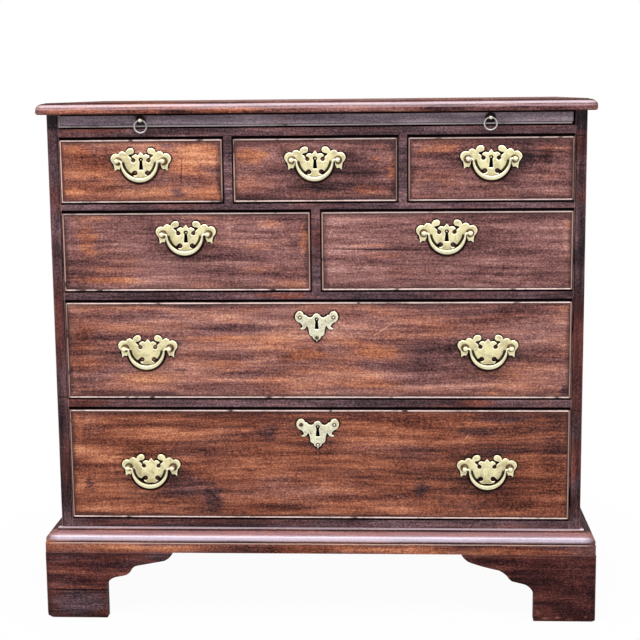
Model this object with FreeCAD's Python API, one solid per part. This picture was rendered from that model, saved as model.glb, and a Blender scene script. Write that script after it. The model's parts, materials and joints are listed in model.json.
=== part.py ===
import FreeCAD, Part
import collections
import math
import os

# A Georgian mahogany bachelor's chest: a carcase on bracket feet, a brushing slide under the
# top, and seven cock-beaded drawers in four rows (three, two, one and one).
# Millimetres. X to the right, Y to the back, Z up. The origin lies on the floor, under the
# middle of the whole piece, and the drawers face -Y.

# ---------------------------------------------------------------- driving dimensions: carcase
case_width = 885.0            # over the two sides
case_depth = 480.0            # from the face of the rails to the outside of the back
side_thickness = 19.0
top_thickness = 19.0
top_ovolo_radius = 6.2        # moulded edge of the top, from its upper arris down
top_fillet = 1.3
top_nose_radius = 2.6
top_lower_radius = 2.4
top_edge_set = 1.2            # how far the fillet stands in from the lower edge
top_side_overhang = 14.5
top_front_overhang = 21.0
rail_depth = 58.0             # front to back, of the rails between the drawers
rail_tenon = 8.0              # length of the stub tenon at each end of a rail
rail_tenon_setback = 8.0      # from the face of the rail to its tenon
foot_rail_depth = 20.0        # front to back, of the deep rail behind the base moulding
dustboard_thickness = 9.0
dustboard_housing = 6.0       # how far a dustboard is let into each side
back_thickness = 12.0
back_rebate = 9.0             # width of the rebate that takes the back boards
back_board_count = 4
back_board_gap = 0.5

# ---------------------------------------------------------------- driving dimensions: heights
foot_height = 116.5
plinth_strip = 17.0           # flat band of the base moulding
plinth_ogee = 21.5            # moulded part above the band
foot_rail_reveal = 16.5       # what shows of the lowest rail above the moulding
bottom_row_height = 190.5     # clear height of each drawer opening, from the floor up
third_row_height = 165.0
second_row_height = 132.0
first_row_height = 105.5
bottom_rail_height = 18.5     # thickness of the rail over each row, from the floor up
third_rail_height = 18.0
second_rail_height = 15.5
first_rail_height = 19.0
slide_opening_height = 21.5

# ---------------------------------------------------------------- driving dimensions: base
base_projection = 25.0        # of the plinth band and feet, outside the carcase
ogee_top_projection = 6.0     # of the small fillet that starts the moulding
ogee_fillet = 3.0
ogee_step = 1.0               # the hollow starts this far outside the fillet
ogee_bend_projection = 14.0   # where the hollow turns into the swell
ogee_bend_drop = 9.0          # and how far that is below the top of the moulding
hollow_middle = (1.6, 3.6)    # middle of the hollow's arc, out from and below its start
swell_middle = (3.0, 4.6)     # middle of the swell's arc, in from the band and below its start
band_step = 1.6               # of the flat band outside the swell's lower end
swell_foot = 1.2              # upright edge between the swell and the band
bracket_thickness = 22.0
foot_width = 103.5            # of the standing part of a foot
worn_corner_radius = 7.0
back_bracket_reach = 60.0
foot_block_size = 38.0
foot_block_lift = 3.0

# ---------------------------------------------------------------- driving dimensions: uprights
first_row_upright = 16.0
second_row_upright = 17.0
upright_tenon = 4.0
upright_tenon_share = 0.5     # of an upright's thickness
guide_height = 22.0
guide_clearance = 0.4         # between a guide's sides and the opening's sides

# ---------------------------------------------------------------- driving dimensions: drawers
drawer_side_gap = 1.0         # between a drawer and each side of its opening
drawer_top_gap = 1.4
drawer_bottom_gap = 0.4
front_thickness = 20.0
bead_width = 3.0
bead_depth = 8.0              # how far a cock bead is let into the edge of the front
bead_proud = 1.6              # how far it stands out of the face
drawer_back_gap = 16.0        # between the back of a drawer and the back boards
box_side_thickness = 9.5
box_back_thickness = 10.0
box_side_drop = 6.0           # of the sides' top edges, below the top of the front
box_back_drop = 12.0
bottom_thickness = 7.0
bottom_lift = 9.0             # underside of the drawer bottom above the sides' lower edges
bottom_housing = 4.5
dovetail_lap = 1.5            # wood between the cock bead and the lapped front dovetails
dovetail_slope = 0.17
dovetail_pitch = 34.0
dovetail_neck = 7.0
stop_height = 6.5
stop_length = 40.0
stop_depth = 12.0
stop_clearance = 0.3
stop_place = 0.25             # from the middle of an opening, as a share of its width

# ---------------------------------------------------------------- driving dimensions: slide
slide_back_gap = 48.0         # between the slide and the back boards
slide_side_gap = 1.0
slide_top_gap = 1.0
slide_bottom_gap = 0.4
slide_strip = 28.0            # depth of the mahogany strip along the front
slide_clamp = 60.0            # width of the cleat across each end
slide_bead_width = 2.4
slide_bead_proud = 1.4
pull_inset = 137.5            # of a pull from the inner face of the nearer side
pull_rise = 1.0               # of the pulls' axis above the middle of the slide's edge
rose_radius = 5.6
rose_thickness = 1.4
eye_radius = 3.9
eye_standoff = 6.0
eye_neck_radius = 1.8
eye_hole_radius = 2.1
pull_shank_length = 16.0
ring_radius = 10.2            # to the middle of the wire
ring_wire_radius = 1.25

# ---------------------------------------------------------------- driving dimensions: brasses
handle_bore_spacing = 76.0
plate_thickness = 1.8
post_standoff = 17.0          # from the face of the drawer to the bail's axis
post_collar_radius = 4.6
post_collar_height = 1.6
post_neck_radius = 2.5
post_head_radius = 4.6
nut_radius = 5.0
nut_thickness = 3.0
shank_beyond_nut = 1.0
bail_pin_radius = 1.9
bail_pin_clearance = 0.07
bail_pin_engagement = 3.4     # how far a bail's end goes into a post's head
bail_depth = 5.6              # thickness front to back
bail_head_gap = 1.8           # between a post's head and the bail's arm
bail_arm_width = 2.9
bail_outer_drop = 3.7         # centre of the outer arc below the axis
bail_inner_rise = 1.2         # centre of the inner arc above the axis
bail_shoulder = 2.6
bail_edge_radius = 1.2
small_handle_drop = 36.0      # from the top of the opening to the bail's axis, upper two rows
third_row_handle_drop = 78.0
bottom_row_handle_drop = 100.0
long_handle_inset = 138.5     # middle of a long drawer's handle from the nearer side
escutcheon_drop = 30.5        # from the top of the opening to the keyhole's head
escutcheon_thickness = 1.8
pin_radius = 0.85
pin_head_radius = 1.7
pin_head_height = 0.8
pin_length = 9.0
cutter_margin = 1.0           # how far a cutting block stands clear of what it cuts

# ---------------------------------------------------------------- driving dimensions: locks
plate_keyhole_rise = 1.7      # keyhole's head above the bail's axis on a handle plate
keyhole_head_radius = 3.3
keyhole_neck = 3.4
keyhole_foot = 6.2
keyhole_length = 16.5
lock_width = 58.0
lock_height = 46.0
lock_cover = 1.0              # wood between the cock bead and the lock
lock_back = 4.0               # of the case behind the key pocket
drill_pin_radius = 1.3
drill_pin_setback = 0.6       # end of the drill pin behind the face of the plate
bolt_width = 22.0
bolt_thickness = 5.0
bolt_height = 20.0
bolt_setback = 0.5            # top of the bolt below the top edge of the front
bolt_clearance = 0.3
bolt_mortise_depth = 8.5

# ---------------------------------------------------------------- outlines
# In each outline a single entry ends a straight line; a pair is an arc's middle and end.
# Shaped lower edge of a bracket, from its tip to the standing part, as (along, down) from the
# standing part's inner corner. Left and right were sawn by eye and differ.
LEFT_BRACKET = [
    (116.0, 0.0),
    ((109.3, 9.0), (100.4, 14.8)),
    ((52.9, 23.7),),
    ((46.6, 27.2), (43.0, 32.3)),
    ((38.5, 37.6), (30.5, 41.2)),
    ((17.0, 43.9),),
    ((5.4, 50.2), (0.0, 60.0)),
]
RIGHT_BRACKET = [
    (122.5, 0.0),
    ((116.0, 8.8), (105.3, 15.2)),
    ((82.9, 22.0), (59.6, 27.5)),
    ((51.1, 32.5), (44.4, 38.5)),
    ((40.8, 43.5), (36.3, 46.8)),
    ((20.2, 50.8),),
    ((4.9, 60.0), (0.0, 72.6)),
]

# Right half of a pierced plate, from its top point clockwise to its bottom, as (x, z) from the
# middle of the bail's axis, drawn for posts at PLATE_POST.
PLATE_POST = 38.0
PLATE_START = (0.0, 14.8)
PLATE_HALF = [
    ((4.8, 8.8),),
    ((9.4, 10.2), (14.9, 5.7)),
    ((12.0, 4.4),),
    ((11.6, -2.8), (15.2, 3.4)),
    ((18.6, 6.6),),
    ((20.3, 8.9), (18.4, 10.3)),
    ((14.2, 11.2),),
    ((11.0, 16.4), (16.8, 20.9)),
    ((22.8, 18.2), (25.4, 12.7)),
    ((31.2, 15.5), (37.4, 10.8)),
    ((46.9, 9.9), (50.3, 2.6)),
    ((48.6, -1.6), (45.7, -4.8)),
    ((44.3, -11.5), (44.2, -18.0)),
    ((41.6, -14.9), (38.6, -13.5)),
    ((36.0, -14.3),),
    ((34.2, -11.2), (33.0, -6.0)),
    ((30.4, -3.6), (28.2, -6.0)),
    ((27.3, -10.5),),
    ((23.9, -17.3), (17.2, -21.0)),
    ((14.0, -18.2),),
    ((6.1, -20.2), (11.6, -24.2)),
    ((13.7, -23.6),),
    ((11.2, -27.4),),
    ((5.4, -28.6), (0.0, -28.2)),
]

# Right half of an escutcheon, from the middle of the keyhole's head.
ESCUTCHEON_START = (0.0, 10.0)
ESCUTCHEON_HALF = [
    ((3.6, 8.7), (6.9, 4.9)),
    ((11.8, 3.1), (16.2, 5.3)),
    ((18.0, 7.2),),
    ((21.6, 8.0),),
    ((27.8, 13.9), (34.4, 9.6)),
    ((35.9, 3.0), (30.9, -4.6)),
    ((25.4, -8.0), (23.4, -12.6)),
    ((25.6, -14.6), (28.4, -15.4)),
    ((24.2, -17.2), (18.0, -13.6)),
    ((16.4, -10.2),),
    ((14.0, -15.0), (13.0, -22.6)),
    ((11.4, -26.6), (6.9, -29.0)),
    ((5.6, -32.6), (1.7, -34.6)),
    ((0.0, -38.2),),
]
ESCUTCHEON_PINS = [(28.0, 3.4), (-28.0, 3.4), (0.0, -31.4)]

# ---------------------------------------------------------------- sizes that follow
inner_width = case_width - 2 * side_thickness
overall_depth = case_depth + base_projection
front_y = base_projection - overall_depth / 2
back_y = front_y + case_depth
back_inner_y = back_y - back_thickness
box_length = case_depth - back_thickness - drawer_back_gap
slide_length = case_depth - back_thickness - slide_back_gap

row_heights = [bottom_row_height, third_row_height, second_row_height, first_row_height]
rail_heights = [bottom_rail_height, third_rail_height, second_rail_height, first_rail_height]

moulding_top = foot_height + plinth_strip + plinth_ogee
row_floor = [moulding_top + foot_rail_reveal]
row_ceiling = []
for row_height, rail_height in zip(row_heights, rail_heights):
    row_ceiling.append(row_floor[-1] + row_height)
    row_floor.append(row_ceiling[-1] + rail_height)
slide_floor = row_floor[-1]
slide_ceiling = slide_floor + slide_opening_height
case_top = slide_ceiling

lock_depth = front_thickness - bead_depth - lock_cover
dovetail_depth = front_thickness - bead_depth - dovetail_lap
plate_scale = handle_bore_spacing / 2 / PLATE_POST

BOTTOM_ROW, THIRD_ROW, SECOND_ROW, FIRST_ROW = range(4)
first_opening = (inner_width - 2 * first_row_upright) / 3
second_opening = (inner_width - second_row_upright) / 2
first_pitch = first_opening + first_row_upright
second_pitch = second_opening + second_row_upright

# Each drawer: its row, the middle and width of its opening, where its bails hang from that
# middle, how far they hang below the top of the opening, and whether it has an escutcheon.
Drawer = collections.namedtuple("Drawer", "name row middle width bails drop escutcheon")


def small_drawer(name, row, middle, width):
    """Drawer with one handle, whose plate is also the keyhole plate."""
    return Drawer(name, row, middle, width, [0.0], small_handle_drop, False)


def long_drawer(name, row, drop):
    """Drawer across the whole chest, with two handles and an escutcheon."""
    half = inner_width / 2 - long_handle_inset
    return Drawer(name, row, 0.0, inner_width, [-half, half], drop, True)


DRAWERS = [
    small_drawer("upper_left_drawer", FIRST_ROW, -first_pitch, first_opening),
    small_drawer("upper_middle_drawer", FIRST_ROW, 0.0, first_opening),
    small_drawer("upper_right_drawer", FIRST_ROW, first_pitch, first_opening),
    small_drawer("half_left_drawer", SECOND_ROW, -second_pitch / 2, second_opening),
    small_drawer("half_right_drawer", SECOND_ROW, second_pitch / 2, second_opening),
    long_drawer("long_drawer", THIRD_ROW, third_row_handle_drop),
    long_drawer("deep_drawer", BOTTOM_ROW, bottom_row_handle_drop),
]


# ---------------------------------------------------------------- small helpers
def box(x0, x1, y0, y1, z0, z1):
    """Block between two corners."""
    return Part.makeBox(x1 - x0, y1 - y0, z1 - z0, FreeCAD.Vector(x0, y0, z0))


def rod(radius, length, base, direction):
    """Round bar from a point, along a direction."""
    return Part.makeCylinder(radius, length, FreeCAD.Vector(*base), FreeCAD.Vector(*direction))


def path(start, steps, place):
    """Edges of an outline: each step is a line's end, or an arc's middle and end."""
    edges = []
    here = start
    for step in steps:
        if len(step) == 1:
            edges.append(Part.makeLine(place(here), place(step[0])))
        else:
            edges.append(Part.Arc(place(here), place(step[0]), place(step[1])).toShape())
        here = step[-1]
    return edges


def prism(edges, direction):
    """Solid from a closed run of edges, pushed along a vector."""
    face = Part.Face(Part.Wire(Part.__sortEdges__(edges)))
    return face.extrude(FreeCAD.Vector(*direction))


def polygon_prism(points, direction):
    """Solid from a closed polygon of 3-D points, pushed along a vector."""
    ring = [FreeCAD.Vector(*point) for point in points]
    wire = Part.makePolygon(ring + ring[:1])
    return Part.Face(wire).extrude(FreeCAD.Vector(*direction))


def symmetric_prism(start, half, scale, centre, y0, thickness):
    """Plate whose outline is a right half and its mirror image, standing in the XZ plane."""
    def right(point):
        return FreeCAD.Vector(centre[0] + scale * point[0], y0, centre[1] + scale * point[1])

    def left(point):
        return FreeCAD.Vector(centre[0] - scale * point[0], y0, centre[1] + scale * point[1])

    edges = path(start, half, right) + path(start, half, left)
    return prism(edges, (0, thickness, 0))


def export(name, solids):
    """Write one named sub-part: one solid, or a group of separate ones."""
    shape = solids[0] if len(solids) == 1 else Part.makeCompound(solids)
    shape.exportStep("parts/" + name + ".step")


# ---------------------------------------------------------------- carcase
def rail_tenons(z0, z1, depth):
    """Stub tenons at both ends of a rail, hidden behind the sides' front edges."""
    reach = inner_width / 2
    y0 = front_y + rail_tenon_setback
    y1 = front_y + depth
    left = box(-reach - rail_tenon, -reach, y0, y1, z0, z1)
    right = box(reach, reach + rail_tenon, y0, y1, z0, z1)
    return [left, right]


def rail_spans():
    """Low and high Z and depth of each rail, from the floor up."""
    spans = [(foot_height, row_floor[0], foot_rail_depth)]
    for ceiling, floor in zip(row_ceiling, row_floor[1:]):
        spans.append((ceiling, floor, rail_depth))
    return spans


def dustboard_slabs():
    """Boards behind the rails, flush with the rails' tops, let into the sides."""
    reach = inner_width / 2 + dustboard_housing
    slabs = []
    for (low, high, depth), floor in zip(rail_spans(), row_floor):
        slabs.append(box(-reach, reach, front_y + depth, back_inner_y,
                         floor - dustboard_thickness, floor))
    return slabs


def quarter(centre, radius, angle):
    """Point on a round, at an angle in degrees from the outward direction."""
    turn = math.radians(angle)
    return (centre[0] - radius * math.cos(turn), centre[1] - radius * math.sin(turn))


def top_edge_profile():
    """Moulded edge of the top as (in, down) steps from its upper arris to its underside."""
    ovolo_end = top_edge_set + top_fillet
    ovolo = (ovolo_end + top_ovolo_radius, top_ovolo_radius)
    shoulder = top_ovolo_radius + top_fillet
    nose = (top_nose_radius, shoulder + top_nose_radius)
    lower = (top_lower_radius, top_thickness - top_lower_radius)
    start = (ovolo[0], 0.0)
    steps = [
        (quarter(ovolo, top_ovolo_radius, 45), (ovolo_end, top_ovolo_radius)),
        ((ovolo_end, shoulder),),
        ((top_nose_radius, shoulder),),
        (quarter(nose, top_nose_radius, 45), (0.0, nose[1])),
        ((0.0, lower[1]),),
        (quarter(lower, top_lower_radius, -45), (top_lower_radius, top_thickness)),
    ]
    return start, steps


def make_top_board():
    """Solid top with its edge moulded along the front and mitred round to both ends."""
    start, steps = top_edge_profile()
    z_top = case_top + top_thickness
    front = front_y - top_front_overhang
    reach = case_width / 2 + top_side_overhang

    def front_edge(point):
        return FreeCAD.Vector(-reach, front + point[0], z_top - point[1])

    def left_end(point):
        return FreeCAD.Vector(-reach + point[0], front, z_top - point[1])

    def right_end(point):
        return FreeCAD.Vector(reach - point[0], front, z_top - point[1])

    edges = path(start, steps, front_edge)
    under = front_edge(steps[-1][-1])
    upper_back = FreeCAD.Vector(-reach, back_y, z_top)
    lower_back = FreeCAD.Vector(-reach, back_y, case_top)
    edges.append(Part.makeLine(under, lower_back))
    edges.append(Part.makeLine(lower_back, upper_back))
    edges.append(Part.makeLine(upper_back, front_edge(start)))
    along_front = prism(edges, (2 * reach, 0, 0))

    edges = path(start, steps, left_end) + path(start, steps, right_end)
    edges.append(Part.makeLine(left_end(start), right_end(start)))
    edges.append(Part.makeLine(left_end(steps[-1][-1]), right_end(steps[-1][-1])))
    along_ends = prism(edges, (0, back_y - front, 0))
    return along_front.common(along_ends)


def make_side(hand):
    """Side of the carcase, housed for rails and dustboards and rebated for the back."""
    inner = hand * inner_width / 2
    outer = hand * case_width / 2
    low, high = min(inner, outer), max(inner, outer)
    side = box(low, high, front_y, back_y, foot_height, case_top)
    for z0, z1, depth in rail_spans():
        for tenon in rail_tenons(z0, z1, depth):
            side = side.cut(tenon)
    for slab in dustboard_slabs():
        side = side.cut(slab)
    reach = inner_width / 2 + back_rebate
    side = side.cut(box(-reach, reach, back_inner_y, back_y, foot_height, case_top))
    return side


def make_back_boards():
    """Horizontal back boards in the sides' rebates."""
    reach = inner_width / 2 + back_rebate
    height = (case_top - foot_height) / back_board_count
    boards = []
    for index in range(back_board_count):
        low = foot_height + index * height
        gap = back_board_gap if index else 0.0
        boards.append(box(-reach, reach, back_inner_y, back_y, low + gap, low + height))
    return boards


def uprights():
    """Middle, width, floor and ceiling of each upright between neighbouring drawers."""
    first = (row_floor[FIRST_ROW], row_ceiling[FIRST_ROW])
    second = (row_floor[SECOND_ROW], row_ceiling[SECOND_ROW])
    return [
        (-first_pitch / 2, first_row_upright) + first,
        (first_pitch / 2, first_row_upright) + first,
        (0.0, second_row_upright) + second,
    ]


def upright_tenons():
    """Stub tenons that hold the uprights in the rails above and below."""
    tenons = []
    for middle, width, low, high in uprights():
        half = width * upright_tenon_share / 2
        x0 = middle - half
        x1 = middle + half
        y0 = front_y + rail_tenon_setback
        y1 = front_y + rail_depth - rail_tenon_setback
        tenons.append(box(x0, x1, y0, y1, low - upright_tenon, low))
        tenons.append(box(x0, x1, y0, y1, high, high + upright_tenon))
    return tenons


def make_rails():
    """Rails between the rows, with mortises for the uprights and for the lock bolts."""
    reach = inner_width / 2
    cuts = upright_tenons() + bolt_mortises()
    rails = []
    for z0, z1, depth in rail_spans():
        rail = box(-reach, reach, front_y, front_y + depth, z0, z1)
        for tenon in rail_tenons(z0, z1, depth):
            rail = rail.fuse(tenon)
        for cut in cuts:
            if rail.BoundBox.intersect(cut.BoundBox):
                rail = rail.cut(cut)
        rails.append(rail.removeSplitter())
    return rails


def make_uprights():
    """Uprights between neighbouring drawers, tenoned at both ends."""
    pieces = []
    for middle, width, low, high in uprights():
        post = box(middle - width / 2, middle + width / 2, front_y, front_y + rail_depth,
                   low, high)
        for tenon in upright_tenons():
            if post.BoundBox.intersect(tenon.BoundBox):
                post = post.fuse(tenon)
        pieces.append(post.removeSplitter())
    return pieces


def make_guides():
    """Strips behind the uprights that keep neighbouring drawers apart."""
    guides = []
    for middle, width, low, high in uprights():
        half = width / 2 - guide_clearance
        guides.append(box(middle - half, middle + half, front_y + rail_depth,
                          back_inner_y, low, low + guide_height))
    return guides


def make_stops():
    """Two small blocks per opening, on the rail, that the drawer front closes against."""
    y0 = front_y + front_thickness + stop_clearance
    stops = []
    for drawer in DRAWERS:
        for hand in (-1, 1):
            centre = drawer.middle + hand * drawer.width * stop_place
            x0 = centre - stop_length / 2
            x1 = centre + stop_length / 2
            low = row_floor[drawer.row]
            stops.append(box(x0, x1, y0, y0 + stop_depth, low, low + stop_height))
    return stops


# ---------------------------------------------------------------- base
def base_profile():
    """Outer face of the base moulding as (out, up) steps from its top arris to its foot."""
    neck = ogee_top_projection + ogee_step
    top = moulding_top - ogee_fillet
    bend = moulding_top - ogee_bend_drop
    lip = foot_height + plinth_strip
    swell = base_projection - band_step
    start = (ogee_top_projection, moulding_top)
    steps = [
        ((ogee_top_projection, top),),
        ((neck, top),),
        ((neck + hollow_middle[0], top - hollow_middle[1]), (ogee_bend_projection, bend)),
        ((base_projection - swell_middle[0], bend - swell_middle[1]), (swell, lip + swell_foot)),
        ((swell, lip),),
        ((base_projection, lip),),
        ((base_projection, foot_height),),
    ]
    return start, steps


def base_frame():
    """Base moulding round the front and both sides, before it is parted at the mitres."""
    start, steps = base_profile()
    half = case_width / 2
    reach = half + base_projection

    def front_face(point):
        return FreeCAD.Vector(-reach, front_y - point[0], point[1])

    def left_face(point):
        return FreeCAD.Vector(-half - point[0], front_y - base_projection, point[1])

    def right_face(point):
        return FreeCAD.Vector(half + point[0], front_y - base_projection, point[1])

    edges = path(start, steps, front_face)
    low_back = FreeCAD.Vector(-reach, back_y, foot_height)
    high_back = FreeCAD.Vector(-reach, back_y, moulding_top)
    edges.append(Part.makeLine(front_face(steps[-1][-1]), low_back))
    edges.append(Part.makeLine(low_back, high_back))
    edges.append(Part.makeLine(high_back, front_face(start)))
    along_front = prism(edges, (2 * reach, 0, 0))

    edges = path(start, steps, left_face) + path(start, steps, right_face)
    edges.append(Part.makeLine(left_face(start), right_face(start)))
    edges.append(Part.makeLine(left_face(steps[-1][-1]), right_face(steps[-1][-1])))
    along_sides = prism(edges, (0, back_y - front_y + base_projection, 0))
    core = box(-half, half, front_y, back_y, foot_height, moulding_top)
    return along_front.common(along_sides).cut(core)


def corner_wedge(z0, z1):
    """Everything on the front's side of the two mitre planes."""
    half = case_width / 2
    run = case_depth
    points = [(-half - run, front_y - run, z0), (half + run, front_y - run, z0),
              (half, front_y, z0), (-half, front_y, z0)]
    return polygon_prism(points, (0, 0, z1 - z0))


def make_base_moulding():
    """Three lengths of moulding, mitred at the front corners."""
    frame = base_frame()
    wedge = corner_wedge(foot_height, moulding_top)
    front = frame.common(wedge)
    rest = frame.cut(wedge)
    return [front] + list(rest.Solids)


def bracket_outline(hand, place):
    """Edges of one bracket board, from its tip round to its outer corner."""
    shaped = LEFT_BRACKET if hand < 0 else RIGHT_BRACKET
    start = shaped[0]
    steps = shaped[1:] + [
        ((0.0, foot_height),),
        ((-foot_width, foot_height),),
        ((-foot_width, 0.0),),
        (start,),
    ]
    return path(start, steps, place)


def worn_board(x0, x1, y0, y1):
    """Block as tall as a foot, with the wear-rounded lower edge at its -Y face."""
    corner = worn_corner_radius * (1 - math.sqrt(0.5))
    start = (y0, foot_height)
    steps = [
        ((y0, worn_corner_radius),),
        ((y0 + corner, corner), (y0 + worn_corner_radius, 0.0)),
        ((y1, 0.0),),
        ((y1, foot_height),),
        (start,),
    ]
    edges = path(start, steps, lambda point: FreeCAD.Vector(x0, point[0], point[1]))
    return prism(edges, (x1 - x0, 0, 0))


def front_bracket(hand):
    """Front bracket of a foot, mitred at the corner, seen from the front."""
    outer = case_width / 2 + base_projection
    inner = outer - foot_width
    y0 = front_y - base_projection

    def place(point):
        return FreeCAD.Vector(hand * (inner - point[0]), y0, foot_height - point[1])

    board = prism(bracket_outline(hand, place), (0, bracket_thickness, 0))
    return board.common(worn_board(-outer, outer, y0, y0 + bracket_thickness))


def side_bracket(hand, toward):
    """Side bracket of a foot: its corner is at the front (-1) or at the back (1)."""
    outer = case_width / 2 + base_projection
    corner_y = front_y - base_projection if toward < 0 else back_y
    inner = corner_y - toward * foot_width

    def place(point):
        return FreeCAD.Vector(-outer, inner - toward * point[0], foot_height - point[1])

    board = prism(bracket_outline(hand, place), (bracket_thickness, 0, 0))
    worn = worn_board(-overall_depth, overall_depth, -outer, -outer + bracket_thickness)
    worn.rotate(FreeCAD.Vector(0, 0, 0), FreeCAD.Vector(0, 0, 1), -90)
    board = board.common(worn)
    if hand > 0:
        board = board.mirror(FreeCAD.Vector(0, 0, 0), FreeCAD.Vector(1, 0, 0))
    return board


def make_front_foot(hand):
    """Two mitred brackets and the glue block behind their corner."""
    wedge = corner_wedge(0, foot_height)
    outer = case_width / 2 + base_projection - bracket_thickness
    y0 = front_y - base_projection + bracket_thickness
    x0 = hand * outer
    x1 = hand * (outer - foot_block_size)
    block = box(min(x0, x1), max(x0, x1), y0, y0 + foot_block_size, foot_block_lift, foot_height)
    return [front_bracket(hand).common(wedge), side_bracket(hand, -1).cut(wedge), block]


def make_back_foot(hand):
    """Side bracket, a plain back bracket behind it and the glue block in their corner."""
    outer = case_width / 2 + base_projection - bracket_thickness
    inner = outer - foot_width + bracket_thickness
    y0 = back_y - bracket_thickness

    points = [(hand * outer, y0, 0), (hand * inner, y0, 0),
              (hand * (inner - back_bracket_reach), y0, foot_height),
              (hand * outer, y0, foot_height)]
    board = polygon_prism(points, (0, bracket_thickness, 0))
    x0 = hand * outer
    x1 = hand * (outer - foot_block_size)
    block = box(min(x0, x1), max(x0, x1), y0 - foot_block_size, y0, foot_block_lift, foot_height)
    return [side_bracket(hand, 1), board, block]


# ---------------------------------------------------------------- drawers
def drawer_extent(drawer):
    """Outer size of a drawer: X low and high, Z low and high."""
    half = drawer.width / 2 - drawer_side_gap
    return (drawer.middle - half, drawer.middle + half,
            row_floor[drawer.row] + drawer_bottom_gap, row_ceiling[drawer.row] - drawer_top_gap)


def bead_strip(length, width):
    """One cock bead along X with its outer edge at z = 0 and a rounded nose towards -Y."""
    nose = -bead_proud
    start = (bead_depth, 0.0)
    steps = [
        ((nose + width / 2, 0.0),),
        ((nose, width / 2), (nose + width / 2, width)),
        ((bead_depth, width),),
        (start,),
    ]
    edges = path(start, steps, lambda point: FreeCAD.Vector(0, point[0], point[1]))
    return prism(edges, (length, 0, 0))


def mitred(strip, length, width):
    """The strip with both ends cut at 45 degrees."""
    near = -bead_proud - cutter_margin
    points = [(0, near, 0), (length, near, 0), (length - width, near, width),
              (width, near, width)]
    keep = polygon_prism(points, (0, bead_depth + cutter_margin - near, 0))
    return strip.common(keep)


def make_beads(drawer):
    """Four mitred cock beads round the edges of a drawer front."""
    x0, x1, z0, z1 = drawer_extent(drawer)
    across = mitred(bead_strip(x1 - x0, bead_width), x1 - x0, bead_width)
    upright = mitred(bead_strip(z1 - z0, bead_width), z1 - z0, bead_width)
    lower = across.copy()
    lower.translate(FreeCAD.Vector(x0, front_y, z0))
    upper = across.copy()
    upper.rotate(FreeCAD.Vector(0, 0, 0), FreeCAD.Vector(0, 1, 0), 180)
    upper.translate(FreeCAD.Vector(x1, front_y, z1))
    left = upright.copy()
    left.rotate(FreeCAD.Vector(0, 0, 0), FreeCAD.Vector(0, 1, 0), 90)
    left.translate(FreeCAD.Vector(x0, front_y, z1))
    right = upright.copy()
    right.rotate(FreeCAD.Vector(0, 0, 0), FreeCAD.Vector(0, 1, 0), -90)
    right.translate(FreeCAD.Vector(x1, front_y, z0))
    return [lower, upper, left, right]


def tails(x0, thickness, y0, depth, z0, z1):
    """Dovetails of one drawer side, side by side up its end, as one group of solids."""
    count = max(2, int(round((z1 - z0) / dovetail_pitch)))
    pitch = (z1 - z0) / count
    flare = dovetail_slope * depth
    solids = []
    for index in range(count):
        low = z0 + index * pitch + dovetail_neck / 2
        high = z0 + (index + 1) * pitch - dovetail_neck / 2
        wide = (low - flare / 2, high + flare / 2)
        narrow = (low + flare / 2, high - flare / 2)
        points = [(x0, y0, wide[0]), (x0, y0, wide[1]),
                  (x0, y0 + depth, narrow[1]), (x0, y0 + depth, narrow[0])]
        solids.append(polygon_prism(points, (thickness, 0, 0)))
    return solids


def make_box(drawer):
    """Left side, right side, back and bottom of a drawer."""
    x0, x1, z0, z1 = drawer_extent(drawer)
    side_top = z1 - box_side_drop
    back_top = z1 - box_back_drop
    rear = front_y + box_length
    body_start = front_y + front_thickness
    tail_start = body_start - dovetail_depth
    body_end = rear - box_back_thickness
    floor = z0 + bottom_lift
    bottom = box(x0 + box_side_thickness - bottom_housing, x1 - box_side_thickness + bottom_housing,
                 body_start - bottom_housing, rear, floor, floor + bottom_thickness)
    sides = []
    for left in (x0, x1 - box_side_thickness):
        side = box(left, left + box_side_thickness, body_start, body_end, z0, side_top)
        for tail in tails(left, box_side_thickness, tail_start, dovetail_depth, z0, side_top):
            side = side.fuse(tail)
        for tail in rear_tails(left, body_end, floor + bottom_thickness, back_top):
            side = side.fuse(tail)
        low_end = box(left, left + box_side_thickness, body_end, rear, z0,
                      floor + bottom_thickness)
        side = side.fuse(low_end).cut(bottom)
        sides.append(side.removeSplitter())
    back = box(x0, x1, body_end, rear, floor + bottom_thickness, back_top)
    for side in sides:
        back = back.cut(side)
    return sides + [back, bottom]


def rear_tails(left, body_end, z0, z1):
    """Through dovetails of a drawer side into the drawer back, widest at the rear."""
    solids = tails(left, box_side_thickness, body_end, box_back_thickness, z0, z1)
    middle = FreeCAD.Vector(left, body_end + box_back_thickness / 2, (z0 + z1) / 2)
    for solid in solids:
        solid.rotate(middle, FreeCAD.Vector(1, 0, 0), 180)
    return solids


def keyhole_height(drawer):
    """Z of the keyhole's head."""
    if drawer.escutcheon:
        return row_ceiling[drawer.row] - escutcheon_drop
    return row_ceiling[drawer.row] - drawer.drop + plate_keyhole_rise


def keyhole(drawer, y0, y1):
    """Keyhole cutter between two depths: a round head over a flared slot."""
    centre_x = drawer.middle
    z = keyhole_height(drawer)
    head = rod(keyhole_head_radius, y1 - y0, (centre_x, y0, z), (0, 1, 0))
    foot_z = z - keyhole_length
    points = [(centre_x - keyhole_neck / 2, y0, z), (centre_x + keyhole_neck / 2, y0, z),
              (centre_x + keyhole_foot / 2, y0, foot_z),
              (centre_x - keyhole_foot / 2, y0, foot_z)]
    return head.fuse(polygon_prism(points, (0, y1 - y0, 0)))


def lock_block(drawer):
    """Outer shape of the lock, let into the inner face of the front at its top edge."""
    top = drawer_extent(drawer)[3]
    inner = front_y + front_thickness
    return box(drawer.middle - lock_width / 2, drawer.middle + lock_width / 2,
               inner - lock_depth, inner, top - lock_height, top)


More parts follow.
